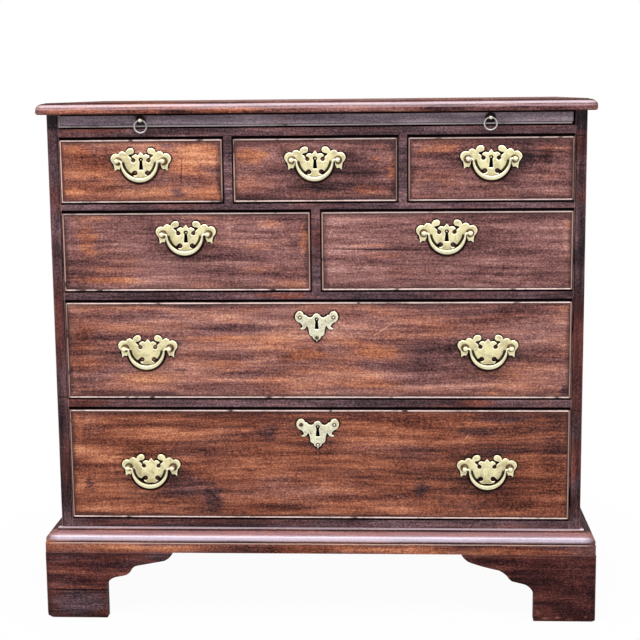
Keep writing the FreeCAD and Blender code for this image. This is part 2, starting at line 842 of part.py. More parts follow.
def bolt_block(drawer, clearance, top):
    """Space of a lock bolt up to a height, with a clearance all round."""
    y_middle = front_y + front_thickness - lock_depth / 2
    half_x = bolt_width / 2 + clearance
    half_y = bolt_thickness / 2 + clearance
    foot = drawer_extent(drawer)[3] - bolt_setback - bolt_height
    return box(drawer.middle - half_x, drawer.middle + half_x, y_middle - half_y,
               y_middle + half_y, foot - clearance, top)


def make_bolt(drawer):
    """Sliding bolt of a drawer lock, drawn back."""
    return [bolt_block(drawer, 0.0, drawer_extent(drawer)[3] - bolt_setback)]


def bolt_mortises():
    """Mortises for the lock bolts in the undersides of the rails."""
    cuts = []
    for drawer in DRAWERS:
        ceiling = row_ceiling[drawer.row]
        space = bolt_block(drawer, bolt_clearance, ceiling).BoundBox
        cuts.append(box(space.XMin, space.XMax, space.YMin, space.YMax, ceiling,
                        ceiling + bolt_mortise_depth))
    return cuts


def handle_centres(drawer):
    """(x, z) of the middle of each bail's axis on a drawer."""
    z = row_ceiling[drawer.row] - drawer.drop
    return [(drawer.middle + offset, z) for offset in drawer.bails]


def make_front(drawer):
    """Drawer front, rebated for its beads and bored for its brasses and lock."""
    x0, x1, z0, z1 = drawer_extent(drawer)
    inner = front_y + front_thickness
    front = box(x0, x1, front_y, inner, z0, z1)
    rim = box(x0, x1, front_y, front_y + bead_depth, z0, z1)
    rim = rim.cut(box(x0 + bead_width, x1 - bead_width, front_y, front_y + bead_depth,
                      z0 + bead_width, z1 - bead_width))
    front = front.cut(rim).cut(lock_block(drawer)).cut(keyhole(drawer, front_y, inner))
    for x, z in handle_centres(drawer):
        for hand in (-1, 1):
            hole = rod(post_neck_radius, front_thickness,
                       (x + hand * handle_bore_spacing / 2, front_y, z), (0, 1, 0))
            front = front.cut(hole)
    if drawer.escutcheon:
        for pin in escutcheon_pins(drawer):
            front = front.cut(pin)
    for piece in make_box(drawer):
        front = front.cut(piece)
    return [front.removeSplitter()]


# ---------------------------------------------------------------- brasses
def make_plate(drawer, x, z):
    """Pierced back plate of one handle, bored for its posts and, on a small drawer, the key."""
    plate = symmetric_prism(PLATE_START, PLATE_HALF, plate_scale, (x, z),
                            front_y - plate_thickness, plate_thickness)
    for hand in (-1, 1):
        hole = rod(post_neck_radius, plate_thickness,
                   (x + hand * handle_bore_spacing / 2, front_y - plate_thickness, z), (0, 1, 0))
        plate = plate.cut(hole)
    if not drawer.escutcheon:
        plate = plate.cut(keyhole(drawer, front_y - plate_thickness, front_y))
    return plate


def make_post(x, z, hand):
    """Handle post: collar, neck, ball head bored for the bail, and a shank through the front."""
    plate_face = front_y - plate_thickness
    axis_y = front_y - post_standoff
    tail = front_thickness + nut_thickness + shank_beyond_nut
    neck = rod(post_neck_radius, post_standoff + tail, (x, axis_y, z), (0, 1, 0))
    collar = rod(post_collar_radius, post_collar_height,
                 (x, plate_face - post_collar_height, z), (0, 1, 0))
    head = Part.makeSphere(post_head_radius, FreeCAD.Vector(x, axis_y, z))
    bore = rod(bail_pin_radius + bail_pin_clearance, post_head_radius + bail_pin_clearance,
               (x - hand * (post_head_radius - bail_pin_engagement - bail_pin_clearance),
                axis_y, z), (-hand, 0, 0))
    return neck.fuse(collar).fuse(head).removeSplitter().cut(bore)


def make_nut(x, z):
    """Round nut on a post's shank, against the inside of the front."""
    inner = front_y + front_thickness
    nut = rod(nut_radius, nut_thickness, (x, inner, z), (0, 1, 0))
    return nut.cut(rod(post_neck_radius, nut_thickness, (x, inner, z), (0, 1, 0)))


def make_handle_fittings(drawer, x, z):
    """Plate, posts and nuts of one handle, without its bail."""
    pieces = [make_plate(drawer, x, z)]
    for hand in (-1, 1):
        post_x = x + hand * handle_bore_spacing / 2
        pieces.append(make_post(post_x, z, hand))
        pieces.append(make_nut(post_x, z))
    return pieces


def escutcheon_pins(drawer):
    """Shanks of the escutcheon's pins."""
    z = keyhole_height(drawer)
    face = front_y - escutcheon_thickness
    return [rod(pin_radius, pin_length, (drawer.middle + px, face, z + pz), (0, 1, 0))
            for px, pz in ESCUTCHEON_PINS]


def make_escutcheon(drawer):
    """Shaped keyhole plate of a long drawer and its three pins."""
    z = keyhole_height(drawer)
    face = front_y - escutcheon_thickness
    plate = symmetric_prism(ESCUTCHEON_START, ESCUTCHEON_HALF, 1.0, (drawer.middle, z), face,
                            escutcheon_thickness)
    plate = plate.cut(keyhole(drawer, face, front_y))
    pins = []
    for shank, (px, pz) in zip(escutcheon_pins(drawer), ESCUTCHEON_PINS):
        plate = plate.cut(shank)
        head = rod(pin_head_radius, pin_head_height,
                   (drawer.middle + px, face - pin_head_height, z + pz), (0, 1, 0))
        pins.append(head.fuse(shank).removeSplitter())
    return [plate] + pins


def make_lock(drawer):
    """Lock case with its bolt way, key pocket and drill pin."""
    top = drawer_extent(drawer)[3]
    inner = front_y + front_thickness
    pocket_end = inner - lock_back
    case = lock_block(drawer).cut(bolt_block(drawer, bolt_clearance, top))
    case = case.cut(keyhole(drawer, inner - lock_depth, pocket_end))
    start = front_y - plate_thickness + drill_pin_setback
    pin = rod(drill_pin_radius, pocket_end - start,
              (drawer.middle, start, keyhole_height(drawer)), (0, 1, 0))
    return case.fuse(pin)


def make_brasses(drawer):
    """Everything of brass that is fixed to a drawer."""
    pieces = []
    for x, z in handle_centres(drawer):
        pieces += make_handle_fittings(drawer, x, z)
    if drawer.escutcheon:
        pieces += make_escutcheon(drawer)
    pieces.append(make_lock(drawer))
    return pieces


def make_bail(x, z):
    """Swan-necked bail: a crescent that is thickest at the bottom, with a pin at each end."""
    axis_y = front_y - post_standoff
    outer_x = handle_bore_spacing / 2 - post_head_radius - bail_head_gap
    inner_x = outer_x - bail_arm_width
    arm_x = outer_x - bail_arm_width / 2
    low_outer = -bail_outer_drop - math.hypot(outer_x, bail_outer_drop)
    low_inner = bail_inner_rise - math.hypot(inner_x, bail_inner_rise)
    start = (-outer_x, 0.0)
    steps = [
        ((0.0, low_outer), (outer_x, 0.0)),
        ((outer_x, bail_shoulder),),
        ((inner_x, bail_shoulder),),
        ((inner_x, 0.0),),
        ((0.0, low_inner), (-inner_x, 0.0)),
        ((-inner_x, bail_shoulder),),
        ((-outer_x, bail_shoulder),),
        (start,),
    ]

    def place(point):
        return FreeCAD.Vector(x + point[0], axis_y - bail_depth / 2, z + point[1])

    crescent = prism(path(start, steps, place), (0, bail_depth, 0))
    edges = [edge for edge in crescent.Edges if edge.BoundBox.YLength < bail_depth / 2]
    crescent = crescent.makeFillet(bail_edge_radius, edges)
    pin_end = handle_bore_spacing / 2 - post_head_radius + bail_pin_engagement
    for hand in (-1, 1):
        pin = rod(bail_pin_radius, pin_end - arm_x, (x + hand * arm_x, axis_y, z), (hand, 0, 0))
        crescent = crescent.fuse(pin)
    return crescent


# ---------------------------------------------------------------- brushing slide
def slide_extent():
    """Outer size of the slide: half width, Z low and high."""
    return (inner_width / 2 - slide_side_gap, slide_floor + slide_bottom_gap,
            slide_ceiling - slide_top_gap)


def pull_centres():
    """(x, z) of the two ring pulls' axes."""
    z0, z1 = slide_extent()[1:]
    z = (z0 + z1) / 2 + pull_rise
    x = inner_width / 2 - pull_inset
    return [(-x, z), (x, z)]


def pull_shank(x, z):
    """Shank of a ring pull, into the front strip of the slide."""
    return rod(eye_neck_radius, pull_shank_length, (x, front_y, z), (0, 1, 0))


def make_slide():
    """Slide: front strip with beads under it and at its ends, panel and two end cleats."""
    half, z0, z1 = slide_extent()
    strip_back = front_y + slide_strip
    rear = front_y + slide_length
    strip = box(-half, half, front_y, strip_back, z0, z1)
    lip = box(-half, half, front_y - slide_bead_proud, front_y, z0, z0 + slide_bead_width)
    strip = strip.fuse(lip)
    for hand in (-1, 1):
        x0 = hand * half
        x1 = hand * (half - slide_bead_width)
        stile = box(min(x0, x1), max(x0, x1), front_y - slide_bead_proud, front_y, z0, z1)
        strip = strip.fuse(stile)
    strip = strip.removeSplitter()
    for x, z in pull_centres():
        strip = strip.cut(pull_shank(x, z))
    inner = half - slide_clamp
    panel = box(-inner, inner, strip_back, rear, z0, z1)
    left = box(-half, -inner, strip_back, rear, z0, z1)
    right = box(inner, half, strip_back, rear, z0, z1)
    return [strip, panel, left, right]


def make_pull_eyes():
    """Round rose, neck, bored eye and shank of each ring pull."""
    eyes = []
    for x, z in pull_centres():
        rose = rod(rose_radius, rose_thickness, (x, front_y - rose_thickness, z), (0, 1, 0))
        neck = rod(eye_neck_radius, eye_standoff, (x, front_y - eye_standoff, z), (0, 1, 0))
        ball = Part.makeSphere(eye_radius, FreeCAD.Vector(x, front_y - eye_standoff, z))
        hole = rod(eye_hole_radius, 2 * eye_radius, (x - eye_radius, front_y - eye_standoff, z),
                   (1, 0, 0))
        eye = rose.fuse(neck).fuse(ball).fuse(pull_shank(x, z)).removeSplitter()
        eyes.append(eye.cut(hole))
    return eyes


def make_ring(x, z):
    """Ring that hangs in a pull's eye."""
    centre = FreeCAD.Vector(x, front_y - eye_standoff, z - ring_radius)
    return Part.makeTorus(ring_radius, ring_wire_radius, centre, FreeCAD.Vector(0, 1, 0))


# ---------------------------------------------------------------- the whole chest
def build_carcase():
    """Everything that stands still."""
    export("top_board", [make_top_board()])
    export("left_side", [make_side(-1)])
    export("right_side", [make_side(1)])
    export("back_boards", make_back_boards())
    export("drawer_rails", make_rails() + make_uprights())
    export("dustboards", dustboard_slabs())
    export("drawer_guides_and_stops", make_guides() + make_stops())
    export("base_moulding", make_base_moulding())
    export("left_front_foot", make_front_foot(-1))
    export("right_front_foot", make_front_foot(1))
    export("left_back_foot", make_back_foot(-1))
    export("right_back_foot", make_back_foot(1))


def build_slide():
    """The brushing slide and its two ring pulls."""
    export("slide_board", make_slide())
    export("slide_pull_eyes", make_pull_eyes())
    for name, (x, z) in zip(("left_pull_ring", "right_pull_ring"), pull_centres()):
        export(name, [make_ring(x, z)])


def build_drawer(drawer):
    """One drawer: front, beads, box, brasses, lock bolt and bails."""
    name = drawer.name
    export(name + "_front", make_front(drawer))
    export(name + "_cock_beads", make_beads(drawer))
    export(name + "_box", make_box(drawer))
    export(name + "_brasses", make_brasses(drawer))
    export(name + "_lock_bolt", make_bolt(drawer))
    centres = handle_centres(drawer)
    names = [name + "_bail"] if len(centres) == 1 else [name + "_left_bail",
                                                        name + "_right_bail"]
    for bail_name, (x, z) in zip(names, centres):
        export(bail_name, [make_bail(x, z)])


os.makedirs("parts", exist_ok=True)
build_carcase()
build_slide()
for drawer in DRAWERS:
    build_drawer(drawer)
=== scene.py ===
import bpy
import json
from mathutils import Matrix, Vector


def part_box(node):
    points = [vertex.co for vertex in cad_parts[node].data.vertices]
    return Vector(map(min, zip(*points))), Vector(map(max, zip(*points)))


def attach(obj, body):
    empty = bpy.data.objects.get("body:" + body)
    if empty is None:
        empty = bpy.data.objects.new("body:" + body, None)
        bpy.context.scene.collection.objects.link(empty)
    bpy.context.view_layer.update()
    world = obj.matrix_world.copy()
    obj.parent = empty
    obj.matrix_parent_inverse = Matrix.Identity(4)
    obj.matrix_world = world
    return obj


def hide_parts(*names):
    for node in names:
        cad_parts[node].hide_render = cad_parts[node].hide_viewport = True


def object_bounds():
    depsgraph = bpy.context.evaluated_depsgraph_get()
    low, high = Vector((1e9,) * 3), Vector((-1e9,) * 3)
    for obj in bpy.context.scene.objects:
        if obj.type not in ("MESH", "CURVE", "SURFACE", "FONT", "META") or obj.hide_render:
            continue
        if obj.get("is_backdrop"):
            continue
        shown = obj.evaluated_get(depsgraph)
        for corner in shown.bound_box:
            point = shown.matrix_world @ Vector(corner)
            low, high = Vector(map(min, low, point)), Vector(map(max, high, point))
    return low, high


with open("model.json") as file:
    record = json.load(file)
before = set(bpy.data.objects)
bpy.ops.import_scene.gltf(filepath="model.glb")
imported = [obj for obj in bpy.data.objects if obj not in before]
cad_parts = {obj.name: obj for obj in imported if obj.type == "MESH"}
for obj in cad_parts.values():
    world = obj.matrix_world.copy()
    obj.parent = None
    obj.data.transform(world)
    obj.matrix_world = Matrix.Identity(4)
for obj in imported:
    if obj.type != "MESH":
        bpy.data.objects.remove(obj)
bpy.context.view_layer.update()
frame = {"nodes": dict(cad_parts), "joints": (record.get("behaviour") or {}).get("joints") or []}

# A Georgian mahogany bachelor's chest: worn, waxed wood, brushing slide, seven cock-beaded
# drawers and pierced brass handles. Metres, X to the right, Y to the back, Z up.
import functools
import json
import logging
import math
from collections.abc import Iterable
from dataclasses import dataclass
from enum import Enum
from typing import ClassVar

import bmesh
import bpy
import numpy as np
from mathutils import Matrix, Vector
from mathutils.geometry import delaunay_2d_cdt

log = logging.getLogger("chest")
MM = 0.001
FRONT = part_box("left_side")[0].y

Socket = bpy.types.NodeSocket
Tone = tuple[int, int, int]
Circle = tuple[float, float, float]
Faces = list[list[int]]


# ------------------------------------------------------------------ reckoning with sockets
def tone(red: int, green: int, blue: int) -> tuple[float, float, float, float]:
    """Linear colour of a paint-chart value from 0 to 255.

    Args:
        red, green, blue: the chart's values.

    Returns:
        Linear red, green, blue and an alpha of 1.
    """
    share = np.array([red, green, blue]) / 255.0
    linear = np.where(share <= 0.04045, share / 12.92, ((share + 0.055) / 1.055) ** 2.4)
    return (*linear.tolist(), 1.0)


class Amount:
    """A number that varies over a surface; reckoning with it adds Math nodes."""

    def __init__(self, recipe: "Tree", socket: Socket) -> None:
        """Wraps one output socket of a recipe."""
        self.recipe = recipe
        self.socket = socket

    def reckon(self, operation: str, *values: "Amount | float", clamp: bool = False) -> "Amount":
        """Result of one Math node.

        Args:
            operation: the Math node's operation.
            values: its inputs in order.
            clamp: whether the result stays between 0 and 1.

        Returns:
            The node's result.
        """
        settings = {"operation": operation, "use_clamp": clamp}
        node = self.recipe.add("ShaderNodeMath", settings, dict(enumerate(values)))
        return Amount(self.recipe, node.outputs[0])

    def __add__(self, other: "Amount | float") -> "Amount":
        """Sum."""
        return self.reckon("ADD", self, other)

    def __radd__(self, other: float) -> "Amount":
        """Sum with the number first."""
        return self.reckon("ADD", other, self)

    def __sub__(self, other: "Amount | float") -> "Amount":
        """Difference."""
        return self.reckon("SUBTRACT", self, other)

    def __rsub__(self, other: float) -> "Amount":
        """Difference with the number first."""
        return self.reckon("SUBTRACT", other, self)

    def __mul__(self, other: "Amount | float") -> "Amount":
        """Product."""
        return self.reckon("MULTIPLY", self, other)

    def __rmul__(self, other: float) -> "Amount":
        """Product with the number first."""
        return self.reckon("MULTIPLY", other, self)

    def least(self, other: "Amount | float") -> "Amount":
        """The smaller of two amounts."""
        return self.reckon("MINIMUM", self, other)

    def most(self, other: "Amount | float") -> "Amount":
        """The larger of two amounts."""
        return self.reckon("MAXIMUM", self, other)

    def whole(self) -> "Amount":
        """The whole number below it."""
        return self.reckon("FLOOR", self)

    def root(self) -> "Amount":
        """Its square root."""
        return self.reckon("SQRT", self)

    def size(self) -> "Amount":
        """The amount without its sign."""
        return self.reckon("ABSOLUTE", self)

    def ease(self, low: float, high: float, start: float = 0.0, end: float = 1.0) -> "Amount":
        """Smooth step from start, at low, to end, at high."""
        settings = {"interpolation_type": "SMOOTHSTEP"}
        sockets = {"Value": self, "From Min": low, "From Max": high, "To Min": start,
                   "To Max": end}
        node = self.recipe.add("ShaderNodeMapRange", settings, sockets)
        return Amount(self.recipe, node.outputs[0])

    def fall(self, low: float, high: float) -> "Amount":
        """Smooth step from 1, at low, to 0, at high."""
        return self.ease(low, high, 1.0, 0.0)


def nearest(amounts: Iterable[Amount]) -> Amount:
    """The smallest of several amounts."""
    return functools.reduce(Amount.least, amounts)


def strongest(amounts: Iterable[Amount]) -> Amount:
    """The largest of several amounts."""
    return functools.reduce(Amount.most, amounts)


class Tree:
    """Node tree of a material or a world."""

    def __init__(self, owner: bpy.types.Material | bpy.types.World) -> None:
        """Takes over the owner's tree, emptied."""
        owner.use_nodes = True
        self.tree = owner.node_tree
        self.tree.nodes.clear()

    def add(self, kind: str, settings: dict | None = None, sockets: dict | None = None
            ) -> bpy.types.Node:
        """Adds a node.

        Args:
            kind: the node's type.
            settings: its settings, set first; "stops" fills a colour ramp.
            sockets: values or links of its inputs, by name or number.

        Returns:
            The node.
        """
        node = self.tree.nodes.new(kind)
        for key, value in (settings or {}).items():
            if key == "stops":
                elements = node.color_ramp.elements
                while len(elements) < len(value):
                    elements.new(0.5)
                for element, (position, colour) in zip(elements, value):
                    element.position = position
                    element.color = colour
            else:
                setattr(node, key, value)
        for key, value in (sockets or {}).items():
            self.feed(node.inputs[key], value)
        return node

    def feed(self, socket: Socket, value: object) -> None:
        """Links a socket to an amount or an output, or sets it to a plain value."""
        if isinstance(value, Amount):
            self.tree.links.new(value.socket, socket)
        elif isinstance(value, Socket):
            self.tree.links.new(value, socket)
        else:
            socket.default_value = value

    def rays(self) -> list[Amount]:
        """Whether a ray comes from the camera, from gloss and through glass: 1 or 0 each."""
        path = self.add("ShaderNodeLightPath")
        return [Amount(self, path.outputs[name]) for name in
                ("Is Camera Ray", "Is Glossy Ray", "Is Transmission Ray")]


class Recipe(Tree):
    """The node tree of one finish, round one Principled shader."""

    def __init__(self, name: str) -> None:
        """Starts a material with its shader joined to the output."""
        self.material = bpy.data.materials.new(name)
        super().__init__(self.material)
        self.shader = self.add("ShaderNodeBsdfPrincipled")
        self.output = self.add("ShaderNodeOutputMaterial",
                               sockets={"Surface": self.shader.outputs[0]})
        self.place = self.add("ShaderNodeTexCoord").outputs["Object"]

    def set(self, **values: object) -> None:
        """Feeds the shader's sockets, with underscores for the spaces in their names."""
        for key, value in values.items():
            self.feed(self.shader.inputs[key.replace("_", " ")], value)

    def axes(self, source: Socket | None = None) -> list[Amount]:
        """The three coordinates of a place."""
        node = self.add("ShaderNodeSeparateXYZ", sockets={0: source or self.place})
        return [Amount(self, output) for output in node.outputs]

    def joined(self, *values: Amount | float) -> Socket:
        """Place with these coordinates."""
        return self.add("ShaderNodeCombineXYZ", sockets=dict(enumerate(values))).outputs[0]

    def moved(self, scale: tuple, shift: tuple = (0, 0, 0), turn: tuple = (0, 0, 0),
              source: Socket | None = None, kind: str = "POINT") -> Socket:
        """Coordinates, scaled, then turned, then shifted (the inverse for kind TEXTURE)."""
        node = self.add("ShaderNodeMapping", {"vector_type": kind},
                        {"Vector": source or self.place, "Scale": scale, "Location": shift,
                         "Rotation": turn})
        return node.outputs[0]

    def vector(self, operation: str, *values: object) -> bpy.types.Node:
        """One Vector Math node."""
        return self.add("ShaderNodeVectorMath", {"operation": operation},
                        dict(enumerate(values)))

    def reach(self, where: Socket) -> Amount:
        """Distance of a place from the origin."""
        return Amount(self, self.vector("LENGTH", where).outputs["Value"])

    def away(self, where: Socket, point: tuple) -> Amount:
        """Distance of a place from a point."""
        return Amount(self, self.vector("DISTANCE", where, point).outputs["Value"])

    def clouds(self, where: Socket, detail: float, roughness: float) -> bpy.types.Node:
        """Noise texture with marks of about one unit."""
        return self.add("ShaderNodeTexNoise", sockets={
            "Vector": where, "Scale": 1.0, "Detail": detail, "Roughness": roughness})

    def noise(self, where: Socket, detail: float = 3.0, roughness: float = 0.5) -> Amount:
        """Smooth noise from about 0 to 1."""
        return Amount(self, self.clouds(where, detail, roughness).outputs[0])

    def shaken(self, where: Socket, reach: tuple, place: Socket, detail: float,
               roughness: float = 0.5) -> Socket:
        """Place pushed to and fro by noise, by up to half the reach along each axis."""
        push = self.clouds(where, detail, roughness).outputs["Color"]
        even = self.vector("SUBTRACT", push, (0.5, 0.5, 0.5)).outputs[0]
        return self.vector("MULTIPLY_ADD", even, reach, place).outputs[0]

    def blend(self, factor: Amount | float, first: object, second: object) -> Socket:
        """Colour between two."""
        return self.add("ShaderNodeMix", {"data_type": "RGBA"},
                        {0: factor, 6: first, 7: second}).outputs[2]

    def ramp(self, factor: Amount, tones: tuple[Tone, ...]) -> Socket:
        """Colour from evenly spaced tones."""
        stops = [(index / (len(tones) - 1), tone(*shade)) for index, shade in enumerate(tones)]
        return self.add("ShaderNodeValToRGB", {"stops": stops}, {0: factor}).outputs[0]

    def bump(self, height: Amount, strength: float, distance: float) -> None:
        """Gives the shader fine relief from a height."""
        node = self.add("ShaderNodeBump", sockets={"Height": height, "Strength": strength,
                                                   "Distance": distance})
        self.set(Normal=node.outputs[0])


# ------------------------------------------------------------------ finishes
class Grain(Enum):
    """Direction of the wood's fibres, as the number of the axis."""

    ACROSS = 0
    BACK = 1
    UP = 2


@dataclass(frozen=True)
class Mark:
    """Oval stain, worn place or painted shade on a face that looks to -Y.

    Its middle and half sizes are in metres; light and warm are what it adds to the wood's
    lightness and warmth at its middle, and turn is in degrees, clockwise seen from the front.
    """

    x: float
    z: float
    wide: float
    high: float
    light: float
    warm: float
    turn: float = 0.0
    deep: float = 25.0 * MM

    def share(self, recipe: Recipe, where: Socket, face: float) -> Amount:
        """Works out where the mark lies.

        Args:
            recipe: that it is part of.
            where: coordinates, pushed about where its rim is to be ragged.
            face: Y of the face that it lies on.

        Returns:
            Share of the mark at a place: 1 at its middle, fading to 0 beyond its rim.
        """
        local = recipe.moved((self.wide, self.deep, self.high), (self.x, face, self.z),
                             (0.0, math.radians(self.turn), 0.0), where, "TEXTURE")
        return recipe.reach(local).fall(0.3, 1.25)


def marks(*rows: tuple) -> tuple[Mark, ...]:
    """Marks from rows of whole numbers.

    A row holds the middle and the half sizes in millimetres, lightness and warmth in
    hundredths and the turn. A broad mark comes out at 0.75 of its lightness, a thin one at 0.9.
    """
    return tuple(Mark(*(size * MM for size in row[:4]),
                      row[4] / 100 * (0.75 if min(row[2:4]) > 2 else 0.9), row[5] / 100, *row[6:])
                 for row in rows)


@dataclass(frozen=True)
class Scribe:
    """A thin dark arc, worn in by an earlier handle.

    Its middle and radius are in metres, and so are the middle and the radius of the round
    window that shows it.
    """

    x: float
    z: float
    radius: float
    shown_x: float
    shown_z: float
    shown: float
    strength: float = 0.35

    @staticmethod
    def around(recipe: Recipe, x: float, z: float, unit: float) -> Amount:
        """Distance from an axis along Y, counted in units."""
        endless = 1000.0
        return recipe.reach(recipe.moved((unit, endless, unit), (x, 0.0, z), kind="TEXTURE"))

    def share(self, recipe: Recipe) -> Amount:
        """Share of the arc's dark line at a place."""
        off = self.around(recipe, self.x, self.z, 1.0) - self.radius
        shown = self.around(recipe, self.shown_x, self.shown_z, self.shown)
        return off.size().fall(0.2 * MM, 1.5 * MM) * shown.fall(0.6, 1.1) * self.strength


@dataclass(frozen=True)
class Stripe:
    """A level stripe of painted highlight or shade between two heights, its borders a little
    ragged.
    """

    low: float
    high: float
    colour: Tone
    share: float
    soft: float = 0.6 * MM

    def amount(self, up: Amount) -> Amount:
        """Share of the stripe at a height."""
        off = (up - (self.low + self.high) / 2).size() - (self.high - self.low) / 2
        return off.fall(-self.soft, self.soft) * self.share


def stripes(*rows: tuple) -> tuple[Stripe, ...]:
    """Stripes from rows of low, high and softness in millimetres, share and colour."""
    return tuple(Stripe(low * MM, high * MM, colour, share, soft * MM)
                 for low, high, soft, share, colour in rows)


@dataclass(frozen=True)
class Shade:
    """Dirt and painted shade close round a brass plate, and the bail's painted shadow under it.

    The plate's shape is a row of circles (x, z, radius) on both sides of its middle; bail is the
    radius of the half disc below the middle where the bail's shadow is painted. In the holes,
    circles like the plate's, less of it is seen.
    """

    x: float
    z: float
    circles: tuple[Circle, ...]
    bail: float = 0.0
    bail_x: float = 0.0
    bail_z: float = 0.0
    holes: tuple[Circle, ...] = ()

    def share(self, recipe: Recipe) -> Amount:
        """Works out where the dirt and painted shade lie.

        Args:
            recipe: that it is part of.

        Returns:
            Share of the dirt and painted shade at a place: 1 in the shape, fading out close
            outside it.
        """
        x, y, z = recipe.axes()
        local = recipe.joined((x - self.x).size(), y - FRONT, z - self.z)
        plate, holes = ([recipe.away(local, (across * MM, 0.0, up * MM)) - radius * MM
                         for across, up, radius in circles]
                        for circles in (self.circles, self.holes))
        share = nearest(plate).fall(1.4 * MM, 3.4 * MM)
        if self.bail:
            disc = recipe.away(recipe.place, (self.bail_x, FRONT, self.bail_z)) - self.bail
            low = disc.most(z - (self.bail_z - 4 * MM))
            share = share.most(low.fall(0.5 * MM, 3.6 * MM))
        for hole in holes:
            share = share * hole.ease(-1.2 * MM, 0.4 * MM, 0.35, 1.0)
        return share


# Noises of a wood's figure: marks a metre along and across the fibres, shift, detail, roughness.
FIGURE = (
    (4.5, 14.0, 0.0, 3.0, 0.6),         # cloud
    (5.5, 80.0, 2.0, 5.0, 0.66),        # grain
    (300.0, 400.0, 4.0, 3.0, 0.8),      # grit
    (34.0, 620.0, 16.0, 2.0, 0.7),      # scratch
    (6.0, 20.0, 6.0, 4.0, 0.6),         # hue
    (130.0, 9.0, 8.0, 2.0, 0.5),        # cross ripple
    (120.0, 1500.0, 12.0, 1.0, 0.5),    # pore
)
DIRT = (8.0, 15.0, 10.0, 6.0, 0.7)


@dataclass(frozen=True)
class Wood:
    """A wood's finish: its two ramps of colour, the way its fibres run and its age.

    A share says how much of a layer shows at most, and the seed shifts all patterns. Lift and
    warmth are added to the figure everywhere, and behind adds two such values behind the
    front. Box and face are the piece's own box and the Y of its front. Mitre is the outer X,
    the front Y and the wall of lengths that meet at a mitre. What stands before proud has a
    pale lip, out to proud_end.
    """

    name: str
    grain: Grain
    cool: tuple[Tone, ...]
    warm: tuple[Tone, ...]
    seed: float = 0.0
    lift: float = 0.0
    warmth: float = 0.4
    contrast: float = 1.0
    ripple: float = 0.1
    soot: Tone = (36, 21, 23)
    # Colour of the painted shade in the gaps and round the brasses.
    painted_shade_tone: Tone = (9, 5, 6)
    soot_share: float = 0.25
    edge: Tone = (176, 136, 128)
    edge_share: float = 0.0
    edge_width: float = 1.6 * MM
    # A thin dark line beside a drawer's bead: painted shade and dirt in the crease.
    crease_shade_share: float = 0.0
    rim_share: float = 0.0
    rim_width: float = 12.0 * MM
    rough: float = 0.42
    wax: float = 0.36
    wax_rough: float = 0.25
    wax_ior: float = 1.5
    polished: tuple[tuple[float, float], ...] = ()
    # Stripes of painted highlight and painted shade along a moulding's front.
    stripes: tuple[Stripe, ...] = ()
    behind: tuple[float, float] | None = None
    stripes_back: float = FRONT
    mitre: tuple[float, float, float] | None = None
    stripes_reach: float = 1.0
    relief: float = 0.2
    box: tuple[float, ...] = ()
    face: float = 0.0
    marks: tuple[Mark, ...] = ()
    scribes: tuple[Scribe, ...] = ()
    shades: tuple[Shade, ...] = ()
    gaps: tuple[tuple[float, ...], ...] = ()
    proud: float | None = None
    proud_end: float = 417.5 * MM
    boards: int = 1

    @functools.lru_cache(maxsize=None)
    def material(self) -> bpy.types.Material:
        """The wood's material, made once for all pieces of the same wood."""
        return WoodRecipe(self).material


